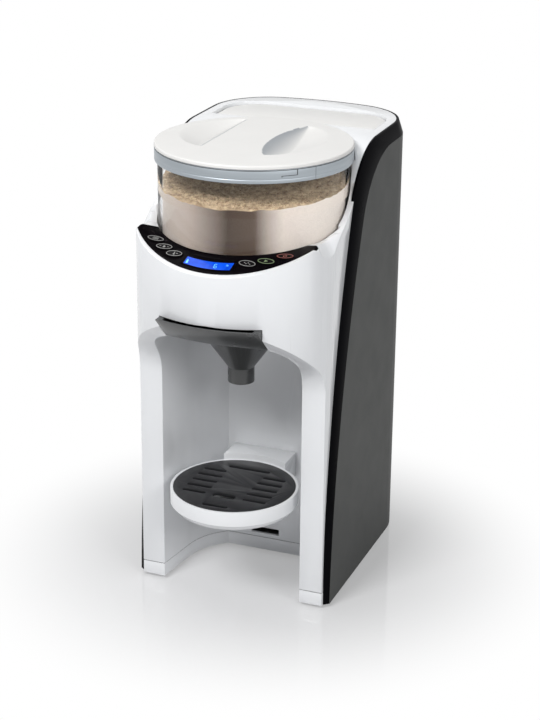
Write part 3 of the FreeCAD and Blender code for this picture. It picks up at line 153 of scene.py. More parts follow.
def noise_field(material, spacing, stretch=(1, 1, 1), detail=3.0):
    """Noise on Object coordinates; spacing is the size of one blotch in metres."""
    coordinates = node(material, "TexCoord")
    mapping = node(material, "Mapping", Scale=stretch)
    field = node(material, "TexNoise", Scale=1 / spacing, Detail=detail, Roughness=0.55)
    link(material, coordinates.outputs["Object"], mapping.inputs["Vector"],
         mapping.outputs["Vector"], field.inputs["Vector"])
    return field.outputs["Fac"]

def ramp_of(material, first, last, *others):
    """A colour ramp; each stop is a position and a colour."""
    ramp = node(material, "ValToRGB")
    stops = ramp.color_ramp.elements
    for stop, (position, colour) in zip(stops, (first, last)):
        stop.position, stop.color = position, (*colour, 1)
    for position, colour in others:
        stops.new(position).color = (*colour, 1)
    return ramp

def colour_drift(material, shader, light, dark, spacing, stretch=(1, 1, 1)):
    """Let the colour wander between two shades."""
    ramp = ramp_of(material, (0.3, dark), (0.7, light))
    link(material, noise_field(material, spacing, stretch), ramp.inputs["Fac"],
         ramp.outputs["Color"], shader.inputs["Base Color"])

def gloss_drift(material, shader, low, high, spacing, stretch=(1, 1, 1)):
    """Let the roughness wander between two values."""
    spread = node(material, "MapRange", From_Min=0.3, From_Max=0.7, To_Min=low, To_Max=high)
    link(material, noise_field(material, spacing, stretch), spread.inputs["Value"],
         spread.outputs["Result"], shader.inputs["Roughness"])

def grain(material, shader, spacing, depth, stretch=(1, 1, 1), detail=2.0):
    """A fine texture in the surface; depth is in metres."""
    bump = node(material, "Bump", Strength=1.0, Distance=depth)
    link(material, noise_field(material, spacing, stretch, detail), bump.inputs["Height"],
         bump.outputs["Normal"], shader.inputs["Normal"])

def shaded(colour, share):
    return tuple(value * share for value in colour)

def plastic(name, colour, roughness, texture_mm=0.6, depth_mm=0.004, drift=0.95, **sockets):
    """Moulded plastic: slight colour drift, uneven gloss and the mould's own fine grain."""
    material, shader = new_finish(name, colour, roughness, **sockets)
    colour_drift(material, shader, colour, shaded(colour, drift), 0.05)
    uneven = 0.6 - drift * 0.55
    gloss_drift(material, shader, roughness * (1 - uneven), roughness * (1 + uneven), 0.03)
    grain(material, shader, texture_mm * MM, depth_mm * MM)
    return material

print("helpers for finishes are ready")

# %% [markdown]
# ## The finishes of this machine
# The casing is glossy white, the side panels satin grey with the sparkle of a spark-eroded mould,
# and the edge trim polished black. Each recipe below is the plastic recipe with other numbers.

# %% Outer plastics
white_shell = plastic("white_shell", (0.80, 0.81, 0.825), 0.22, 1.4, 0.002, 0.975,
                      Coat_Weight=0.35, Coat_Roughness=0.06)
white_lid = plastic("white_lid", (0.78, 0.77, 0.75), 0.45, 0.5, 0.004, 0.965)
black_trim = plastic("black_trim", (0.004, 0.004, 0.005), 0.30, 0.9, 0.002, 0.9,
                     Specular_IOR_Level=0.006)
grey_panel = plastic("grey_panel", (0.050, 0.052, 0.050), 0.50, 0.35, 0.006, 0.985,
                     Specular_IOR_Level=0.12)
black_panel = plastic("black_panel", (0.004, 0.003, 0.004), 0.10, 2.0, 0.001, 0.7,
                      Specular_IOR_Level=0.012)
button_black = plastic("button_black", (0.008, 0.007, 0.008), 0.25, 0.4, 0.003, 0.7,
                       Specular_IOR_Level=0.05)
grille_grey = plastic("grille_grey", (0.017, 0.017, 0.019), 0.40, 0.30, 0.014, 0.75)
rubber_black = plastic("rubber_black", (0.02, 0.02, 0.02), 0.75, 0.25, 0.02, 0.7)

def paint_shade_where(material, attribute, shade):
    """Paint shade into the finish: its colour is multiplied by a shade where the mesh carries an attribute
    of 1.
    """
    base = principled(material).inputs["Base Color"]
    mask, tint = node(material, "Attribute"), node(material, "Mix")
    mask.attribute_name = attribute
    tint.data_type = "RGBA"
    tint.inputs[6].default_value = (1, 1, 1, 1)
    tint.inputs[7].default_value = (*shade, 1)
    product = maths(material, "VectorMath", "MULTIPLY")
    link(material, base.links[0].from_socket, product.inputs[0], mask.outputs["Fac"], tint.inputs[0],
         tint.outputs[2], product.inputs[1], product.outputs["Vector"], base)

# painted shade on the wall beside the lid's grip bar, where the recess lies in shadow
paint_shade_where(white_lid, "hollow", (0.36, 0.39, 0.43))
print("outer plastics ready")

# %% Inner plastics, metals and boards
inner_plastic = plastic("inner_plastic", (0.055, 0.058, 0.06), 0.5, 0.4, 0.015, 0.8)
gear_plastic = plastic("gear_plastic", (0.66, 0.62, 0.52), 0.38, 0.5, 0.006, 0.93)
board_green = plastic("board_green", (0.012, 0.085, 0.03), 0.3, 0.8, 0.02, 0.7, Coat_Weight=0.4)
silicone = plastic("silicone", (0.62, 0.63, 0.64), 0.45, 0.5, 0.004, 0.95, Subsurface_Weight=0.15)

def metal(name, colour, roughness, stretch):
    """Metal with a drawn or turned grain: noise stretched along the way the tool went."""
    material, shader = new_finish(name, colour, roughness, Metallic=1.0)
    colour_drift(material, shader, colour, shaded(colour, 0.88), 0.01, stretch)
    gloss_drift(material, shader, roughness * 0.8, roughness * 1.3, 0.004, stretch)
    grain(material, shader, 0.25 * MM, 0.008 * MM, stretch)
    return material

steel = metal("steel", (0.58, 0.58, 0.60), 0.28, (1, 1, 0.08))
brass = metal("brass", (0.72, 0.52, 0.24), 0.3, (0.1, 0.1, 1))
band_metal = metal("band_metal", (0.37, 0.405, 0.435), 0.42, (0.05, 0.05, 1))
print("inner plastics and metals ready")

# %% [markdown]
# ## Clear and smoky plastic
# The wall is thin and powder lies right against it, so it hardly bends light: its index is set close
# to 1, and a clear coat brings back the reflections. Lamps can't find their way through refraction
# without noise, so for shadow rays the wall is swapped for a plain transparent one.

# %% See-through plastics
def see_through(name, colour, roughness, texture_mm, depth_mm, shadow_tint, bend):
    """Clear moulded plastic that lamps shine through; bend is its index of refraction."""
    material, shader = new_finish(name, colour, roughness, Transmission_Weight=1.0, IOR=bend,
                                  Coat_Weight=0.3, Coat_Roughness=0.05)
    gloss_drift(material, shader, roughness * 0.7, roughness * 1.6, 0.02)
    grain(material, shader, texture_mm * MM, depth_mm * MM)
    swap = node(material, "MixShader")
    path = node(material, "LightPath")
    clear = node(material, "BsdfTransparent", Color=(*shadow_tint, 1))
    link(material, path.outputs["Is Shadow Ray"], swap.inputs["Fac"],
         shader.outputs["BSDF"], swap.inputs[1], clear.outputs["BSDF"], swap.inputs[2])
    surface(material, swap.outputs["Shader"])
    return material

clear_wall = see_through("clear_wall", (0.97, 0.975, 0.98), 0.02, 6.0, 0.002, (0.93, 0.93, 0.94), 1.03)
tank_wall = see_through("tank_wall", (0.86, 0.92, 0.95), 0.05, 3.0, 0.004, (0.80, 0.86, 0.9), 1.1)
smoke_funnel = plastic("smoke_funnel", (0.055, 0.057, 0.057), 0.30, 0.7, 0.004, 0.85,
                       Transmission_Weight=0.12, IOR=1.5, Coat_Weight=0.2)
print("see-through plastics ready")

# %% [markdown]
# ## Dressing the solids
# A solid whose shape is right keeps it and only gets a finish. One table pairs each finish with the
# solids that wear it, so nothing is left in its plain colour.

# %% Finishes on the solids
WORN_BY = {
    white_shell: ["main_housing", "base_plate", "drip_tray"],
    black_trim: ["rim_trim"],
    grey_panel: ["back_panel", "side_panel_left", "side_panel_right"],
    rubber_black: ["rubber_feet", "keypad_mat", "cord_gland"],
    steel: ["base_screws", "container_shaft", "motor_screws", "drive_shaft", "gear_motor", "water_heater",
            "water_nozzle"],
    inner_plastic: ["chassis_frame", "gear_deck", "tank_valve", "tank_seat", "water_pump", "display_module",
                    "board_pillars"],
    clear_wall: ["powder_container"],
    band_metal: ["container_band"],
    white_lid: ["container_lid", "tank_lid"],
    silicone: ["lid_seal", "scraper_blade", "valve_seal", "tank_hose", "pump_hose", "nozzle_hose"],
    gear_plastic: ["dosing_wheel", "stirrer", "drive_gear", "tank_float", "powder_chute"],
    brass: ["shaft_bush", "motor_pinion"],
    board_green: ["control_board", "power_board"],
    smoke_funnel: ["funnel"],
    grille_grey: ["drip_grille"],
    tank_wall: ["water_tank"],
    black_panel: ["control_panel", "display_lens"],
    button_black: ["menu_button", "volume_button", "temperature_button", "powder_button", "start_button",
                   "power_button"],
}

dressed = set()
for finish, names in WORN_BY.items():
    for name in names:
        slots = NODES[name].data.materials
        slots.clear()
        slots.append(finish)
        dressed.add(name)
print(len(dressed), "solids dressed, left out:", sorted(set(NODES) - dressed))

# %% [markdown]
# ## Softening the moulded edges
# A solid from CAD has knife-sharp edges, and a moulding never has: steel wears and plastic can't
# fill a perfect corner. A welded copy of the solid's mesh gets a Bevel modifier that rounds every
# edge sharper than a limit, and the copy stands for the solid.

def add_piece(name, mesh, finish, body, stands_for=()):
    """Put a finished mesh into the scene, on its body and in its material slot."""
    piece = placed(name, mesh)
    mesh.materials.clear()
    mesh.materials.append(finish)
    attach(piece, body)
    if stands_for:
        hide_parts(*stands_for)
    return piece

def stand_in(node_name, name, mesh):
    """A new piece in the place of a solid: on its body, in its slot and with its finish."""
    solid = NODES[node_name]
    return add_piece(name, mesh, solid.data.materials[0], solid["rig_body"],
                     (node_name,))

# %% Helpers for meshes
def opened(mesh):
    """A BMesh with a copy of a mesh in it."""
    work = bmesh.new()
    work.from_mesh(mesh)
    return work

def mesh_of(work, name):
    """The mesh that a BMesh holds; the BMesh is freed."""
    mesh = bpy.data.meshes.new(name)
    work.to_mesh(mesh)
    work.free()
    return mesh

def closed_mesh(work, name):
    """The same for a closed skin, with its faces turned outwards."""
    bmesh.ops.recalc_face_normals(work, faces=work.faces)
    return mesh_of(work, name)

def bridge(work, rings):
    """Faces from each ring of vertices to the next."""
    for here, there in zip(rings, rings[1:]):
        for step in range(len(here)):
            turn = (step + 1) % len(here)
            corners = list(dict.fromkeys((here[step], here[turn], there[turn], there[step])))
            if len(corners) > 2:
                work.faces.new(corners)

def two_sheets(name, columns, rows, spot):
    """A closed block between two grids; spot(sheet, column, row) gives each corner in metres."""
    work = bmesh.new()
    sheets = []
    for sheet in (0, 1):
        grid = [[work.verts.new(spot(sheet, column, row)) for row in range(rows + 1)]
                for column in range(columns + 1)]
        sheets.append(grid)
        for left, right in zip(grid, grid[1:]):
            for row in range(rows):
                work.faces.new((left[row], right[row], right[row + 1], left[row + 1]))
    first, second = sheets
    border = [(column, 0) for column in range(columns)] + [(columns, row) for row in range(rows)]
    border += [(column, rows) for column in range(columns, 0, -1)]
    border += [(0, row) for row in range(rows, 0, -1)]
    for (a, b), (c, d) in zip(border, border[1:] + border[:1]):
        work.faces.new((first[a][b], first[c][d], second[c][d], second[a][b]))
    return closed_mesh(work, name)

print("helpers for meshes are ready")

# %% Helpers that round and turn
def baked(piece):
    """The plain mesh that the piece's modifiers make of it; the helper object is thrown away."""
    depsgraph = bpy.context.evaluated_depsgraph_get()
    result = bpy.data.meshes.new_from_object(piece.evaluated_get(depsgraph))
    bpy.data.objects.remove(piece)
    return result

def smooth_by_angle(mesh, degrees=32):
    """Smooth shading that keeps edges sharper than the angle crisp."""
    mesh.polygons.foreach_set("use_smooth", [True] * len(mesh.polygons))
    work = opened(mesh)
    for edge in work.edges:
        edge.smooth = not (len(edge.link_faces) == 2 and edge.calc_face_angle(0) > radians(degrees))
    work.to_mesh(mesh)
    work.free()
    return mesh

def bevelled(mesh, width_mm, segments=2, angle=38):
    """The mesh with its sharp edges rounded and its shading smoothed."""
    helper = placed("bevel_helper", mesh)
    bevel = helper.modifiers.new("edges", "BEVEL")
    bevel.width = width_mm * MM
    bevel.segments = segments
    bevel.limit_method = "ANGLE"
    bevel.angle_limit = radians(angle)
    return smooth_by_angle(baked(helper))

def merged_copy(node_name):
    """A solid's triangles welded into one skin, with flat regions joined into whole faces."""
    work = opened(NODES[node_name].data)
    bmesh.ops.remove_doubles(work, verts=work.verts, dist=0.002 * MM)
    bmesh.ops.dissolve_limit(work, angle_limit=radians(0.6), verts=work.verts, edges=work.edges)
    return mesh_of(work, node_name + "_skin")

def rounded(node_name, width_mm):
    """The solid again with rounded edges, standing for it."""
    return stand_in(node_name, node_name + "_rounded", bevelled(merged_copy(node_name), width_mm))

def lathe(name, outline, axis_y, segments=128):
    """Turn a closed outline of (radius, height) in millimetres round an upright axis."""
    work = bmesh.new()
    turns = [2 * pi * step / segments for step in range(segments)]
    rings = []
    for radius, height in outline:
        if radius == 0:
            rings.append([work.verts.new((0, axis_y * MM, height * MM))] * segments)
            continue
        rings.append([work.verts.new((radius * cos(turn) * MM, (axis_y + radius * sin(turn)) * MM,
                                      height * MM)) for turn in turns])
    bridge(work, rings + rings[:1])
    return closed_mesh(work, name)

print("helpers that round and turn are ready")

# %% Rounded mouldings
for node_name, width_mm in {"base_plate": 0.6, "funnel": 0.6, "drip_grille": 0.35,
                            "tank_lid": 0.6, "rim_trim": 0.5}.items():
    piece = rounded(node_name, width_mm)
    print(piece.name, len(piece.data.polygons), "faces")

# %% [markdown]
# ## Shoulders that fall away
# Beside the control panel the white moulding doesn't end in a corner: it rolls off towards the
# sides. A cutter does this. Its underside is a height field over angle and radius that starts above
# the surface and sinks further out, and a Boolean modifier takes away what lies over it.

# %% Shoulder cutters
PANEL_END, ROLL_START, ROLL_END = 53.8, 45.0, 84.0
FALL, ROLL_RATE, ROLL_POWER, CLEAR = 0.27, 0.45, 1.45, 14.0
WELL, PANEL_OUT = 83.4, 103.5
COLLAR, COLLAR_CLIMB, FASCIA, FASCIA_CLIMB = 329.6, 13.6, 318.4, 54.0
CUTTER_IN, CUTTER_OUT, FILL_IN, FILL_LOW, FILL_TOP = 82.9, 113.0, 85.6, 312.0, 340.4
# angle off the front, height of the shoulder
SHOULDER = ((PANEL_END, 335.2), (62, 335.4), (66, 336.5), (70, 338.2), (75, 340.6), (80, 344.8),
            (90, 362.0))

def panel_height(radius, angle):
    """Height of the panel's crescent, which slopes up outwards."""
    climb = 1 - cos(radians(angle))
    inner, outer = COLLAR + COLLAR_CLIMB * climb, FASCIA + FASCIA_CLIMB * climb
    return inner + (outer - inner) * (radius - WELL) / (PANEL_OUT - WELL)

def shoulder_height(angle):
    """Height of the shoulder along the container's well, past the panel's end."""
    for (low, start), (high, end) in zip(SHOULDER, SHOULDER[1:]):
        if angle <= high:
            return start + (end - start) * (angle - low) / (high - low)
    return SHOULDER[-1][1]

def roll_start_radius(angle):
    """Where the roll begins: outside the panel at first, then ever closer to the container."""
    share = min(1.0, max(0.0, (angle - 48.0) / 18.0))
    return 88.3 + 16.2 * (1 - share) ** 1.6 + 2.0 * max(0.0, 48.0 - angle)

def cutter_floor(radius, angle):
    """Underside of the cutter; at its far end it rises clear of the moulding."""
    crown = roll_start_radius(angle)
    fade = min(1.0, max(0.0, (ROLL_END - angle) / 8.0))
    if angle <= PANEL_END:
        level = panel_height(radius, angle) + 0.8 * min(1.0, PANEL_END - angle)
    else:
        level = shoulder_height(angle) + FALL * (min(radius, crown) - WELL)
    return level - ROLL_RATE * max(0.0, radius - crown) ** ROLL_POWER * fade + CLEAR * (1 - fade)

def fill_top(radius, angle):
    return panel_height(radius, angle) - 2.6 if angle < PANEL_END + 1 else FILL_TOP

print("panel's tip at", round(panel_height(PANEL_OUT, PANEL_END), 1), "mm, shoulder at",
      round(shoulder_height(PANEL_END), 1))

# %% Blocks that add and take away
def polar_block(name, side, inner, outer, low, high, start, end, columns=64, rows=24):
    """A closed block over a sector; low and high are functions of radius and angle."""
    def spot(sheet, column, row):
        angle = start + (end - start) * column / columns
        near, far = inner(angle), outer(angle)
        radius, turn = near + (far - near) * row / rows, radians(angle)
        return (side * radius * sin(turn) * MM, (AXIS_Y - radius * cos(turn)) * MM,
                (low, high)[sheet](radius, angle) * MM)
    return two_sheets(name, columns, rows, spot)

def combined(mesh, other, operation):
    """Union or difference of two closed meshes."""
    base, tool = placed("base", mesh), placed("tool", other)
    step = base.modifiers.new(operation, "BOOLEAN")
    step.operation = operation
    step.solver = "EXACT"
    step.object = tool
    result = baked(base)
    bpy.data.objects.remove(tool)
    return result

RAY_FROM = 0.2  # metres from the axis, outside the moulding

def outline_radius(tree, side, angle, height):
    """Radius of the moulding's outer wall, found by a ray from outside towards the axis."""
    turn = radians(angle)
    outwards = Vector((side * sin(turn), -cos(turn), 0))
    origin = Vector((0, AXIS_Y * MM, height * MM)) + outwards * RAY_FROM
    distance = tree.ray_cast(origin, -outwards)[3]
    return (RAY_FROM - distance) / MM

def shouldered(mesh, fill):
    """The moulding with both shoulders filled where it is hollow, then rolled off."""
    for side in (-1, 1):
        if fill:
            work = opened(mesh)
            tree = BVHTree.FromBMesh(work)
            work.free()
            block = polar_block("fill", side, lambda angle: FILL_IN,
                                lambda angle: outline_radius(tree, side, angle, 330.0) - 0.5,
                                lambda radius, angle: FILL_LOW, fill_top, 47.0, 79.0, 32, 8)
            mesh = combined(mesh, block, "UNION")
        cutter = polar_block("cutter", side, lambda angle: CUTTER_IN, lambda angle: CUTTER_OUT,
                             cutter_floor, lambda radius, angle: 430.0, ROLL_START, ROLL_END)
        mesh = combined(mesh, cutter, "DIFFERENCE")
    return mesh

FRONT_Y, FOOT_Z, HEAD_Z = -60.0, 15.5, 251.5

def soft_front(mesh, width_mm=2.2):
    """A wider rounding where hands reach: the columns and the arch between them."""
    work = opened(mesh)
    def in_front(vert):
        return vert.co.y < FRONT_Y * MM and FOOT_Z * MM < vert.co.z < HEAD_Z * MM
    edges = [edge for edge in work.edges if len(edge.link_faces) == 2 and edge.is_convex
             and edge.calc_face_angle(0) > radians(40) and all(in_front(vert) for vert in edge.verts)
             and abs(edge.verts[0].co.z - edge.verts[1].co.z) > 0.0001]
    print(len(edges), "edges softened")
    bmesh.ops.bevel(work, geom=edges, offset=width_mm * MM, segments=5, affect="EDGES",
                    clamp_overlap=True)
    return mesh_of(work, "soft_front")

housing_mesh = bevelled(soft_front(shouldered(merged_copy("main_housing"), True)), 0.7, angle=40)
stand_in("main_housing", "main_housing_rounded", housing_mesh)
panel_mesh = bevelled(shouldered(merged_copy("control_panel"), False), 0.3, angle=40)
stand_in("control_panel", "control_panel_rounded", panel_mesh)
print("shoulders rolled:", len(housing_mesh.polygons), "and", len(panel_mesh.polygons), "faces")

# %% [markdown]
# ## A bowl for the drips
# The drip tray's underside is rounded like a bowl. Only the lower outer rim is wanted, so its edges
# are picked by place and bevelled in steps before the small bevel goes over all the others.

# %% Drip tray
TRAY_Y, TRAY_LOW, TRAY_RADIUS, BOWL, BOWL_BACK = -78.0, 84.4, 57.0, 8.5, 48.0

def tray_mesh():
    work = opened(merged_copy("drip_tray"))
    def on_rim(vert):
        x, y, z = (value / MM for value in vert.co)
        outside = abs(hypot(x, y - TRAY_Y) - TRAY_RADIUS) < 1.0
        return outside and abs(z - TRAY_LOW) < 0.2 and y < TRAY_Y + BOWL_BACK
    rim = [edge for edge in work.edges if all(on_rim(vert) for vert in edge.verts)
           and edge.calc_length() < 0.02 and edge.calc_face_angle(0) > radians(30)]
    print(len(rim), "rim edges rounded")
    bmesh.ops.bevel(work, geom=rim, offset=BOWL * MM, segments=7, affect="EDGES", clamp_overlap=True)
    return bevelled(mesh_of(work, "tray"), 0.5, angle=50)

stand_in("drip_tray", "drip_tray_rounded", tray_mesh())

# %% [markdown]
# ## The shadow line over the foot
# Where shell and foot meet, both edges are rounded and leave a groove. A thin dark strip sits in
# it as painted shadow of the groove: a slice of the foot's own outline, taken with an intersecting Boolean.

# %% Foot gasket
FOOT_TOP, SLICE, SLAB_OUT = 15.8, 0.5, 260
slab = lathe("slab", [(0, FOOT_TOP - SLICE), (SLAB_OUT, FOOT_TOP - SLICE), (SLAB_OUT, FOOT_TOP),
                      (0, FOOT_TOP)], 0.0, 12)
# a dark slice painted as the shadow in the seam between shell and foot
seam_shadow_strip = add_piece("foot_seam_painted_shadow", combined(merged_copy("base_plate"), slab, "INTERSECT"),
                   inner_plastic, "housing")
print(seam_shadow_strip.name, len(seam_shadow_strip.data.polygons), "faces")

# %% [markdown]
# ## The powder container
# A clear cup is injection moulded, so its wall is even and its edges are soft. It is turned on a
# lathe here: an outline of radius and height goes round the axis. The hole over the powder chute is
# cut with a Boolean modifier.

# %% Clear cup and metal band
CUP_OUT, CUP_IN, CUP_LOW, CUP_FLOOR, CUP_TOP = 82.4, 80.0, 314.2, 317.2, 391.0
SHAFT_HOLE, CHUTE_Y, OUTLET = 4.05, -88.0, 9.0
BAND_OUT, BAND_TOP, BAND_GROOVE_Z, GROOVE = 85.0, 402.4, 394.2, 0.35

cup_mesh = lathe("cup", [(SHAFT_HOLE, CUP_LOW), (CUP_OUT, CUP_LOW), (CUP_OUT, CUP_TOP), (CUP_IN, CUP_TOP),
                         (CUP_IN, CUP_FLOOR), (SHAFT_HOLE, CUP_FLOOR)], AXIS_Y)
drill_mesh = lathe("drill", [(0, CUP_LOW - 3), (OUTLET, CUP_LOW - 3), (OUTLET, CUP_FLOOR + 3),
                             (0, CUP_FLOOR + 3)], CHUTE_Y, 48)
cup = stand_in("powder_container", "powder_cup",
               bevelled(combined(cup_mesh, drill_mesh, "DIFFERENCE"), 0.5))

band_mesh = lathe("band", [
    (CUP_IN, CUP_TOP), (BAND_OUT, CUP_TOP), (BAND_OUT, BAND_GROOVE_Z - GROOVE),
    (BAND_OUT - GROOVE, BAND_GROOVE_Z), (BAND_OUT, BAND_GROOVE_Z + GROOVE), (BAND_OUT, BAND_TOP),
    (CUP_IN, BAND_TOP)], AXIS_Y, 160)
band = stand_in("container_band", "cup_band", bevelled(band_mesh, 0.4))

# a dark ring just under the band's top edge, painted as the shadow in the gap below the lid
gap_shadow_mesh = lathe("gap_shadow_ring", [(BAND_OUT - 1.5, BAND_TOP - 0.9), (BAND_OUT + 0.05, BAND_TOP - 0.9),
                         (BAND_OUT + 0.05, BAND_TOP - 0.3), (BAND_OUT - 1.5, BAND_TOP - 0.3)], AXIS_Y, 160)
add_piece("band_gap_painted_shadow", gap_shadow_mesh, inner_plastic, "container")

# moulded lines on the band: start and end angle, low and high edge
MARKS = {"band_mark_stem": (46.0, 46.5, 397.2, 401.9), "band_mark_foot": (37.2, 46.4, 396.8, 397.3),
         "band_mark_end": (36.9, 37.4, 396.0, 397.3), "band_joint": (58.05, 58.25, 391.4, 401.9)}
for mark, (start, end, low, high) in MARKS.items():
    strip = polar_block(mark, 1, lambda angle: BAND_OUT - 0.3, lambda angle: BAND_OUT + 0.06,
                        lambda radius, angle: low, lambda radius, angle: high, start, end, 8, 1)
    add_piece(mark, strip, inner_plastic, "container")
print(cup.name, "and", band.name, "turned,", len(MARKS), "lines on the band")

# %% [markdown]
# ## The powder
# Milk powder settles into a level bed and clumps on top. The bed is a turned block whose top
# follows a noise field; it is hollow where the stirrer sweeps, so nothing collides. A Geometry
# Nodes tree then scatters crumbs on the top: points on faces, one small stone on each, then all of
# them made real.

# %% Powder bed
BED_OUT, BED_LOW, SWEEP, SWEEP_TOP = 79.8, 328.2, 72.5, 348.0
BED_FRONT, BED_BACK, LUMP = 367.0, 378.0, 2.0
CRUST_LOW, CRUST_OUT = 362.0, 77.8

def bed_height(x, y):
    """Top of the powder in millimetres: a little higher at the back, with lumps."""
    share = (y - AXIS_Y + BED_OUT) / (2 * BED_OUT)
    lumps = noise.noise(Vector((x, y, 0)) / 21) + 0.5 * noise.noise(Vector((x, y, 40)) / 8)
    fine = 0.25 * noise.noise(Vector((x, y, 80)) / 2.6)
    return BED_FRONT + (BED_BACK - BED_FRONT) * share + LUMP * (lumps + fine)

def powder_bed(rings=46, segments=192):
    work = bmesh.new()
    def ring(radius, height):
        """A circle of vertices; height is a number, or None for the uneven top."""
        turns = [2 * pi * step / segments for step in range(segments)]
        spots = [(radius * cos(turn), AXIS_Y + radius * sin(turn)) for turn in turns]
        levels = [bed_height(x, y) if height is None else height for x, y in spots]
        return [work.verts.new((x * MM, y * MM, level * MM)) for (x, y), level in zip(spots, levels)]
    loops = [ring(0.8, SWEEP_TOP), ring(SWEEP, SWEEP_TOP), ring(SWEEP, BED_LOW), ring(BED_OUT, BED_LOW)]
    loops += [ring(BED_OUT, height) for height in (338.0, 348.0, 358.0)]
    tops = [ring(BED_OUT * (1 - step / rings) + 0.8, None) for step in range(rings + 1)]
    bridge(work, loops + tops)
    work.faces.new(loops[0])
    work.faces.new(tops[-1])
    return smooth_by_angle(closed_mesh(work, "powder_bed"), 60)

def powder_tone_and_painted_reflection(material, shader):
    """The powder's own beige with painted light on it: paler towards the sides of the cup and palest at the
    right, with a dark painted reflection across the middle of its front.
    """
    coordinates, parts = node(material, "TexCoord"), node(material, "SeparateXYZ")
    across = node(material, "MapRange", From_Min=-0.075, From_Max=0.075, To_Min=0.0, To_Max=1.0)
    # the near-black stops are a painted reflection on the front of the powder, the pale ends painted light
    # on its sides
    painted_reflection_ramp = ramp_of(material, (0.0, (0.42, 0.37, 0.325)), (1.0, (0.60, 0.54, 0.485)),
                    (0.30, (0.30, 0.25, 0.215)), (0.56, (0.030, 0.016, 0.007)),
                    (0.70, (0.050, 0.030, 0.018)), (0.84, (0.50, 0.44, 0.39)))
    shade = node(material, "MapRange", From_Min=0.3, From_Max=0.7, To_Min=0.86, To_Max=1.0)
    speckle = maths(material, "VectorMath", "SCALE")
    link(material, coordinates.outputs["Object"], parts.inputs["Vector"],
         parts.outputs["X"], across.inputs["Value"], across.outputs["Result"], painted_reflection_ramp.inputs["Fac"],
         noise_field(material, 0.0012, detail=4.0), shade.inputs["Value"],
         painted_reflection_ramp.outputs["Color"], speckle.inputs["Vector"], shade.outputs["Result"], speckle.inputs["Scale"],
         speckle.outputs["Vector"], shader.inputs["Base Color"])

print("the bed lies between", BED_FRONT, "and", BED_BACK, "mm")

# %% Powder finishes
powder_finish, powder_shader = new_finish("powder", (0.60, 0.47, 0.38), 0.9)
powder_tone_and_painted_reflection(powder_finish, powder_shader)
grain(powder_finish, powder_shader, 0.0005, 0.00001, detail=5.0)
crumb_finish, crumb_shader = new_finish("crumbs", (0.32, 0.23, 0.13), 0.85)
colour_drift(crumb_finish, crumb_shader, (0.46, 0.36, 0.23), (0.15, 0.09, 0.045), 0.0045)
grain(crumb_finish, crumb_shader, 0.0006, 0.0001, detail=5.0)

bed_mesh = powder_bed()
bed = add_piece("powder_bed", bed_mesh, powder_finish, "container")
bed_mesh.materials.append(crumb_finish)
for face in bed_mesh.polygons:
    if face.center.z > CRUST_LOW * MM and face.normal.z > 0.5:
        face.material_index = 1
print(bed.name, len(bed_mesh.polygons), "faces")

# %% Crumbs scattered by Geometry Nodes
def new_tree(name, inputs):
    """An empty Geometry Nodes tree with the named inputs; inputs hold (name, socket type, default)."""
    tree = bpy.data.node_groups.new(name, "GeometryNodeTree")
    tree.interface.new_socket("Geometry", in_out="INPUT", socket_type="NodeSocketGeometry")
    for label, kind, default in inputs:
        socket = tree.interface.new_socket(label, in_out="INPUT", socket_type=kind)
        if default is not None:
            socket.default_value = default
    tree.interface.new_socket("Geometry", in_out="OUTPUT", socket_type="NodeSocketGeometry")
    return tree, tree.nodes.new("NodeGroupInput"), tree.nodes.new("NodeGroupOutput")

def finish_tree(tree, given, real, dress, result):
    """The end of both trees: real geometry gets its finish and leaves."""
    wire(tree, real.outputs["Geometry"], dress.inputs["Geometry"], given.outputs["Finish"],
         dress.inputs["Material"], dress.outputs["Geometry"], result.inputs["Geometry"])

def run_tree(tree, values, start_mesh=None):
    """Run a tree on a helper object and give back the plain mesh it makes."""
    mesh = start_mesh or bpy.data.meshes.new(tree.name)
    helper = placed(tree.name + "_helper", mesh)
    modifier = helper.modifiers.new(tree.name, "NODES")
    modifier.node_group = tree
    inputs = [item for item in tree.interface.items_tree if item.in_out == "INPUT"]
    identifiers = {item.name: item.identifier for item in inputs}
    for label, value in values.items():
        modifier[identifiers[label]] = value
    return baked(helper)

def crumb_tree():
    """Points on the surface, a stone on each, turned and sized at random."""
    tree, given, result = new_tree("crumbs", [
        ("Density", "NodeSocketFloat", 1.0), ("Smallest", "NodeSocketFloat", 0.5),
        ("Largest", "NodeSocketFloat", 1.0), ("Seed", "NodeSocketInt", 0),
        ("Finish", "NodeSocketMaterial", None)])
    add = tree.nodes.new
    scatter, stone = add("GeometryNodeDistributePointsOnFaces"), add("GeometryNodeMeshIcoSphere")
    place, real, dress = add("GeometryNodeInstanceOnPoints"), add("GeometryNodeRealizeInstances"), add(
        "GeometryNodeSetMaterial")
    size, turn = add("FunctionNodeRandomValue"), add("FunctionNodeRandomValue")
    turn.data_type = "FLOAT_VECTOR"
    turn.inputs["Max"].default_value = (2 * pi, 2 * pi, 2 * pi)
    stone.inputs["Radius"].default_value = 1.0
    stone.inputs["Subdivisions"].default_value = 1
    start = given.outputs
    wire(tree, start["Geometry"], scatter.inputs["Mesh"], start["Density"], scatter.inputs["Density"],
         start["Seed"], scatter.inputs["Seed"], start["Smallest"], size.inputs[2],
         start["Largest"], size.inputs[3], start["Seed"], size.inputs["Seed"],
         scatter.outputs["Points"], place.inputs["Points"], stone.outputs["Mesh"], place.inputs["Instance"],
         turn.outputs["Value"], place.inputs["Rotation"], size.outputs[1], place.inputs["Scale"],
         place.outputs["Instances"], real.inputs["Geometry"])
    finish_tree(tree, given, real, dress, result)
    return tree

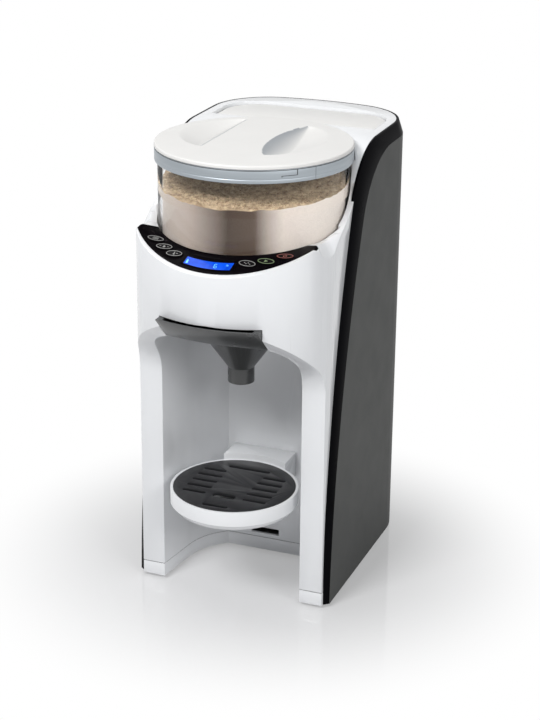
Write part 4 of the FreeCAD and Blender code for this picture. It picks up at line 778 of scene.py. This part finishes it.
def top_of_bed():
    """Only the upper faces of the powder bed, a hair inside its rim."""
    work = opened(bed_mesh)
    def at_the_rim(face):
        middle = face.calc_center_median()
        return hypot(middle.x, middle.y - AXIS_Y * MM) > CRUST_OUT * MM
    hidden = [face for face in work.faces if face.material_index != 1 or at_the_rim(face)]
    bmesh.ops.delete(work, geom=hidden, context="FACES")
    return mesh_of(work, "top_of_bed")

crumb_mesh = run_tree(crumb_tree(), {"Density": 330000.0, "Smallest": 0.0005, "Largest": 0.0013, "Seed": 7,
                                     "Finish": crumb_finish}, top_of_bed())
crumbs = add_piece("powder_crumbs", crumb_mesh, crumb_finish, "container")
print(len(crumb_mesh.polygons) // 20, "crumbs on the bed")

# %% [markdown]
# ## The lid
# The lid is one disc whose top dips into two finger recesses with a grip bar between them. A dip is
# a formula: it falls from the bar to a valley and climbs again to a curved outer edge. The top and
# the underside are polar grids of vertices, each lifted to its own height, so wall and recess stay
# equally thick, as a moulding needs. An attribute says how near each vertex lies to the bar, and
# the finish reads it to paint shade on that wall: a darker colour stands in for its shadow.

# %% Lid
LID_LOW, LID_TOP, LID_OUT, LID_EDGE = 402.6, 406.0, 85.1, 1.5
SKIRT_IN, SKIRT_OUT, SKIRT_LOW, LID_SKIN = 76.5, 79.0, 396.1, 1.9
# side, bar edge, its bulge, reach outwards, middle, half length, valley, lean, depth, rounding
RECESSES = [(-1, 33.5, 0.0, 38.0, 16.0, 51.0, 0.42, 0.0, 8.6, (0.75, 1.25)),
            (1, 25.3, 13.3, 32.0, 11.2, 53.0, 0.46, 0.20, 7.0, (1.0, 1.0))]

def dip(x, y):
    """Depth of the finger recesses at a spot given from the lid's middle, in millimetres."""
    return dip_and_nearness(x, y)[0]

def dip_and_nearness(x, y):
    """The depth, and how near the spot is to the grip bar on the bar's side of the valley."""
    for side, bar, bulge, reach, middle, half, valley, lean, deepest, bends in RECESSES:
        along = (y - middle) / half
        if abs(along) >= 1:
            continue
        room = 1 - along ** 2
        near = bar - bulge * room ** 0.8
        far = bar + reach * room ** 0.6 * (1 + 0.5 * lean * along)
        share = (side * x - near) / (far - near)
        crease = valley - lean * along
        if 0 < share < 1:
            rise = ((1 - share) / (1 - crease)) ** bends[1]
            fall = (share / crease) ** bends[0] if share < crease else rise
            return deepest * room ** 0.6 * fall, max(0.0, 1 - (share / crease) ** 1.6)
    return 0.0, 0.0

def lid_top(x, y):
    radius = hypot(x, y)
    shoulder = min(LID_EDGE, max(0.0, radius - (LID_OUT - LID_EDGE)))
    return LID_TOP - dip(x, y) - LID_EDGE * (1 - (1 - (shoulder / LID_EDGE) ** 2) ** 0.5)

def lid_under(x, y):
    return min(LID_LOW, lid_top(x, y) - LID_SKIN)

def lid_mesh_made(segments=288):
    radii = [0.6 + 0.9 * step for step in range(93)] + [83.9, 84.3, 84.65, 84.9, 85.03, 85.1]
    under = [0.6 + 1.18 * step for step in range(65)] + [SKIRT_IN]
    rows = [(radius, lid_top) for radius in radii]
    rows += [(LID_OUT, LID_LOW + 0.4), (LID_OUT - 0.4, LID_LOW)]
    rows += [(SKIRT_OUT, LID_LOW), (SKIRT_OUT, SKIRT_LOW), (SKIRT_IN, SKIRT_LOW)]
    rows += [(radius, lid_under) for radius in reversed(under)]
    work = bmesh.new()
    loops = []
    for radius, height in rows:
        loop = []
        for step in range(segments):
            turn = 2 * pi * step / segments
            x, y = radius * cos(turn), radius * sin(turn)
            level = height(x, y) if callable(height) else height
            loop.append(work.verts.new((x * MM, (AXIS_Y + y) * MM, level * MM)))
        loops.append(loop)
    bridge(work, loops)
    work.faces.new(loops[0])
    work.faces.new(loops[-1])
    return smooth_by_angle(closed_mesh(work, "lid"), 40)

lid_mesh = lid_mesh_made()
lid = stand_in("container_lid", "container_lid_formed", lid_mesh)
# nearness to the grip bar, which the lid's finish turns into painted shade on the recess wall
hollow = lid_mesh.attributes.new("hollow", "FLOAT", "POINT")
for vert, value in zip(lid_mesh.vertices, hollow.data):
    x, y, z = (length / MM for length in vert.co)
    depth, nearness = dip_and_nearness(x, y - AXIS_Y)
    value.value = nearness if z > LID_TOP - depth - 1.0 else 0.0
print(lid.name, len(lid_mesh.polygons), "faces")

# %% [markdown]
# ## The control panel
# The panel is a crescent that falls outwards from the container's collar and climbs towards the
# sides. Two heights describe it, one for its inner edge and one for its outer edge, and every mark
# on it is placed by an angle, a radius and a lift along the surface's own normal.

# %% Places on the crescent
CAP_RISE = 1.1
# angle off the front, distance from the panel's inner edge
BUTTONS = {"menu_button": (-39.5, 10.4), "volume_button": (-30.6, 10.6),
           "temperature_button": (-22.2, 11.2), "powder_button": (18.6, 10.0),
           "start_button": (28.0, 10.5), "power_button": (37.8, 10.3)}

def crescent_spot(radius, angle):
    """Surface of the panel at an angle off the front (degrees), in millimetres."""
    turn = radians(angle)
    return Vector((radius * sin(turn), AXIS_Y - radius * cos(turn), panel_height(radius, angle)))

def crescent_frame(radius, angle):
    """Matrix in metres: local Z along the surface's normal, local X across the machine."""
    spot = crescent_spot(radius, angle)
    outwards = crescent_spot(radius + 0.1, angle) - spot
    sideways = crescent_spot(radius, angle + 0.1) - spot
    up = outwards.cross(sideways).normalized()
    if up.z < 0:
        up.negate()
    across = (Vector((1, 0, 0)) - up * up.x).normalized()
    axes = Matrix((across, up.cross(across), up)).transposed().to_4x4()
    return Matrix.Translation(spot * MM) @ axes

start_spot = crescent_spot(WELL + BUTTONS["start_button"][1], BUTTONS["start_button"][0])
print("start button stands at", [round(value, 1) for value in start_spot])

# %% [markdown]
# ## Marks on the buttons
# Each button has a thin printed oval and a small plain sign. The oval is a Geometry Nodes tree: a
# circle is stretched to an ellipse and a flat ribbon is swept along it. The signs are flat shapes,
# a fraction of a millimetre thick.

# %% Oval rings
def ring_tree():
    """An ellipse swept with a flat profile."""
    tree, given, result = new_tree("oval_ring", [
        ("Long", "NodeSocketFloat", 0.01), ("Short", "NodeSocketFloat", 0.005),
        ("Line", "NodeSocketFloat", 0.0006), ("Thickness", "NodeSocketFloat", 0.0001),
        ("Finish", "NodeSocketMaterial", None)])
    add = tree.nodes.new
    circle, scale, profile = add("GeometryNodeCurvePrimitiveCircle"), add("ShaderNodeCombineXYZ"), add(
        "GeometryNodeCurvePrimitiveQuadrilateral")
    stretch, sweep = add("GeometryNodeTransform"), add("GeometryNodeCurveToMesh")
    real, dress = add("GeometryNodeRealizeInstances"), add("GeometryNodeSetMaterial")
    circle.inputs["Resolution"].default_value = 64
    circle.inputs["Radius"].default_value = 0.5
    scale.inputs["Z"].default_value = 1.0
    start = given.outputs
    wire(tree, start["Long"], scale.inputs["X"], start["Short"], scale.inputs["Y"],
         circle.outputs["Curve"], stretch.inputs["Geometry"],
         scale.outputs["Vector"], stretch.inputs["Scale"],
         start["Line"], profile.inputs["Width"], start["Thickness"], profile.inputs["Height"],
         stretch.outputs["Geometry"], sweep.inputs["Curve"], profile.outputs["Curve"],
         sweep.inputs["Profile Curve"], sweep.outputs["Mesh"], real.inputs["Geometry"])
    finish_tree(tree, given, real, dress, result)
    return tree

oval = ring_tree()
print(oval.name, "tree has", len(oval.nodes), "nodes")

# %% Inks and signs
def print_ink(name, colour):
    """Screen-printed ink: matt and a little uneven."""
    material, shader = new_finish(name, colour, 0.5)
    colour_drift(material, shader, colour, shaded(colour, 0.8), 0.002)
    gloss_drift(material, shader, 0.4, 0.65, 0.001)
    return material

white_ink = print_ink("white_ink", (0.30, 0.30, 0.29))
green_ink = print_ink("green_ink", (0.19, 0.27, 0.13))
red_ink = print_ink("red_ink", (0.32, 0.09, 0.07))
INK = {"start_button": green_ink, "power_button": red_ink}

def box_mark(x, y, wide, high):
    """Corners of a small bar about (x, y)."""
    return [(x + a * wide / 2, y + b * high / 2) for a, b in ((-1, -1), (1, -1), (1, 1), (-1, 1))]

def round_mark(x, y, radius, corners=20, top=0.0):
    """Corners of a dot, drawn out to a drop when top is over 0."""
    turns = [2 * pi * step / corners for step in range(corners)]
    return [(x + radius * sin(turn), y + radius * cos(turn) + (0 if turn else top)) for turn in turns]

def arc_mark(radius, line, start, end, steps=18):
    """Corners of a curved stroke."""
    turns = [radians(start + (end - start) * step / steps) for step in range(steps + 1)]
    outer = [(radius * sin(turn), radius * cos(turn)) for turn in turns]
    inner = [((radius - line) * sin(turn), (radius - line) * cos(turn)) for turn in reversed(turns)]
    return outer + inner

SIGNS = {
    "menu_button": [box_mark(0, y, 5.0, 0.55) for y in (-1.2, 0, 1.2)],
    "volume_button": [round_mark(0, -0.4, 1.15, top=1.1), box_mark(-3.4, 0, 1.6, 0.5),
                      box_mark(3.4, 0, 1.6, 0.5)],
    "temperature_button": [round_mark(0, -1.0, 0.85), box_mark(0, 0.7, 0.7, 2.2),
                           box_mark(2.4, 0, 1.8, 0.5)],
    "powder_button": [round_mark(x, y, 0.5)
                      for x, y in ((-2.4, 0.6), (-0.8, -0.6), (0.8, 0.6), (2.4, -0.6))],
    "start_button": [[(-1.2, -1.5), (1.7, 0), (-1.2, 1.5)]],
    "power_button": [arc_mark(1.7, 0.5, 35, 325), box_mark(0, 1.35, 0.5, 1.7)],
}

print(len(SIGNS), "signs drawn")

# %% Print the buttons
def flat_marks(name, outlines, thickness_mm=0.06):
    """Thin closed slabs from flat outlines, in metres."""
    work = bmesh.new()
    for outline in outlines:
        low = [work.verts.new((x * MM, y * MM, 0)) for x, y in outline]
        high = [work.verts.new((x * MM, y * MM, thickness_mm * MM)) for x, y in outline]
        work.faces.new(low)
        work.faces.new(high)
        for step in range(len(outline)):
            turn = (step + 1) % len(outline)
            work.faces.new((low[step], low[turn], high[turn], high[step]))
    return closed_mesh(work, name)

OVAL = {"Long": 0.0138, "Short": 0.0062, "Line": 0.0006, "Thickness": 0.0001}
for button, (angle, margin) in BUTTONS.items():
    ink = INK.get(button, white_ink)
    print_work = opened(run_tree(oval, OVAL | {"Finish": ink}))
    print_work.from_mesh(flat_marks(button, SIGNS[button]))
    marks = mesh_of(print_work, button + "_print")
    lift = Matrix.Translation((0, 0, (CAP_RISE + 0.02) * MM))
    marks.transform(crescent_frame(WELL + margin, angle) @ lift)
    add_piece(button + "_print", marks, ink, button)
    print(button, "printed")

# %% [markdown]
# ## The display
# A blue display shines through the black window. Its picture is a thin slab that follows the
# crescent, with slanted ends; the figure and the signs on it are thinner pale slabs. They glow by
# themselves, because a backlit display is as bright in the shade as in the light.

# %% Display picture
PICTURE_IN, PICTURE_OUT, PICTURE_THICK = 91.6, 98.7, 0.05
PICTURE_ENDS = ((-14.6, 11.8), (-14.2, 10.3))  # angles along its inner and its outer edge

def picture_mesh(columns=40, rows=4):
    """A thin slab on the window; its ends slant from the inner to the outer edge."""
    def spot(sheet, column, row):
        share = row / rows
        start, end = (inner * (1 - share) + outer * share for inner, outer in zip(*PICTURE_ENDS))
        angle = start + (end - start) * column / columns
        place = crescent_frame(PICTURE_IN + (PICTURE_OUT - PICTURE_IN) * share, angle)
        return place @ Vector((0, 0, (PICTURE_THICK, 0.0)[sheet] * MM))
    return smooth_by_angle(two_sheets("display_picture", columns, rows, spot), 40)

display_blue, blue_shader = new_finish("display_blue", (0.0, 0.01, 0.10), 0.10, Specular_IOR_Level=0.12)
blue_shader.inputs["Emission Strength"].default_value = 1.0
glow_ramp = ramp_of(display_blue, (0.35, (0.002, 0.060, 0.62)), (0.65, (0.004, 0.120, 1.0)))
link(display_blue, noise_field(display_blue, 0.012), glow_ramp.inputs["Fac"],
     glow_ramp.outputs["Color"], blue_shader.inputs["Emission Color"])
gloss_drift(display_blue, blue_shader, 0.08, 0.15, 0.01)

figure_glow, figure_shader = new_finish("display_figure", (0.1, 0.4, 0.8), 0.3)
figure_shader.inputs["Emission Color"].default_value = (0.10, 0.50, 0.95, 1)
figure_shader.inputs["Emission Strength"].default_value = 0.8
gloss_drift(figure_glow, figure_shader, 0.25, 0.4, 0.002)

add_piece("display_picture", picture_mesh(), display_blue, "housing")

print("display picture lit")

# %% Figure and signs of the display
def segment_figure(high, wide, line):
    """The figure 6 of a seven-segment display."""
    bars = [(0, high / 2, wide, line), (0, 0, wide, line), (0, -high / 2, wide, line),
            (-wide / 2, high / 4, line, high / 2), (-wide / 2, -high / 4, line, high / 2),
            (wide / 2, -high / 4, line, high / 2)]
    return [box_mark(x, y, along * 0.88, up * 0.88) for x, y, along, up in bars]

BOTTLE = [(-0.9, -2.6), (0.9, -2.6), (0.9, 0.4), (0.45, 1.2), (0.45, 2.0), (-0.45, 2.0), (-0.45, 1.2),
          (-0.9, 0.4)]
DISPLAY_SIGNS = {"figure": (2.6, 95.3, segment_figure(3.9, 2.2, 0.5)), "bottle": (-13.0, 95.6, [BOTTLE]),
                 "unit": (8.6, 94.2, [box_mark(0, 0.6, 1.9, 0.4), box_mark(0, -0.4, 1.9, 0.4)])}
for sign, (angle, radius, outlines) in DISPLAY_SIGNS.items():
    mesh = flat_marks("display_" + sign, outlines, 0.04)
    lift = Matrix.Translation((0, 0, (PICTURE_THICK + 0.01) * MM))
    mesh.transform(crescent_frame(radius, angle) @ lift)
    add_piece("display_" + sign, mesh, figure_glow, "housing")
print("display lit with its figure and signs")

# %% [markdown]
# ## The studio
# The machine stands on a pale floor in front of nothing but white. Lamps and world light it at a
# plain level. The white itself is only looked at: by the camera, in reflections and through clear
# parts. It adds no light, so the shell keeps its soft shading.

# %% World and floor
def seen_directly(material):
    """A mask that is 1 for camera, glossy and transmission rays."""
    path = node(material, "LightPath")
    mask = path.outputs["Is Camera Ray"]
    for kind in ("Is Glossy Ray", "Is Transmission Ray"):
        either = maths(material, "Math", "MAXIMUM")
        link(material, mask, either.inputs[0], path.outputs[kind], either.inputs[1])
        mask = either.outputs[0]
    return mask

world = bpy.data.worlds.new("studio")
world.use_nodes = True
bpy.context.scene.world = world
daylight = world.node_tree.nodes["Background"]
daylight.inputs["Color"].default_value = (0.96, 0.98, 1.0, 1)
daylight.inputs["Strength"].default_value = 0.30
backdrop = node(world, "Background", Color=(1, 1, 1, 1), Strength=1.0)
choice = node(world, "MixShader")
link(world, seen_directly(world), choice.inputs["Fac"], daylight.outputs[0], choice.inputs[1],
     backdrop.outputs[0], choice.inputs[2])
surface(world, choice.outputs[0])

floor_finish, floor_shader = new_finish("studio_floor", (0.60, 0.60, 0.61), 0.06)
grain(floor_finish, floor_shader, 0.004, 0.00002)
glow = node(floor_finish, "Emission", Color=(1, 1, 1, 1), Strength=1.0)
where = node(floor_finish, "TexCoord")
reach = maths(floor_finish, "VectorMath", "LENGTH")
fade = node(floor_finish, "MapRange", From_Min=0.10, From_Max=0.29, To_Min=0.30, To_Max=1.0)
fade.interpolation_type = "SMOOTHSTEP"
dim = maths(floor_finish, "Math", "MULTIPLY")
blend = node(floor_finish, "MixShader")
link(floor_finish, where.outputs["Object"], reach.inputs[0], reach.outputs["Value"], fade.inputs["Value"],
     fade.outputs["Result"], dim.inputs[1], seen_directly(floor_finish), dim.inputs[0],
     dim.outputs[0], blend.inputs["Fac"], floor_shader.outputs["BSDF"], blend.inputs[1],
     glow.outputs[0], blend.inputs[2])
surface(floor_finish, blend.outputs[0])

bpy.ops.mesh.primitive_circle_add(vertices=96, radius=6, fill_type="NGON", location=(0, 0, -0.0002))
floor = bpy.context.object
floor.name = "studio_floor"
floor.data.materials.append(floor_finish)
print("world and floor ready")

# %% [markdown]
# ## Lamps
# Three large soft lamps: a key from the front left that rounds the white shell, a weaker one from
# the right that draws the edge of the side panel, and one above for the lid.

# %% Lamps
def softbox(name, spot, target, size, watts):
    """A square area lamp that faces its target."""
    data = bpy.data.lights.new(name, "AREA")
    data.size = size
    data.energy = watts
    lamp = placed(name, data)
    lamp.matrix_world = Matrix.Translation(spot) @ axes_towards(Vector(spot), Vector(target), 0.0)

MIDDLE = (0, 0, 0.22)
softbox("key_lamp", (-0.5, -1.6, 1.9), MIDDLE, 0.8, 36)
softbox("side_lamp", (2.0, -1.3, 1.5), MIDDLE, 1.0, 22)
softbox("top_lamp", (-0.9, 0.2, 2.1), MIDDLE, 0.8, 7)
bpy.context.scene.view_settings.view_transform = "Standard"
print("three softboxes ready")
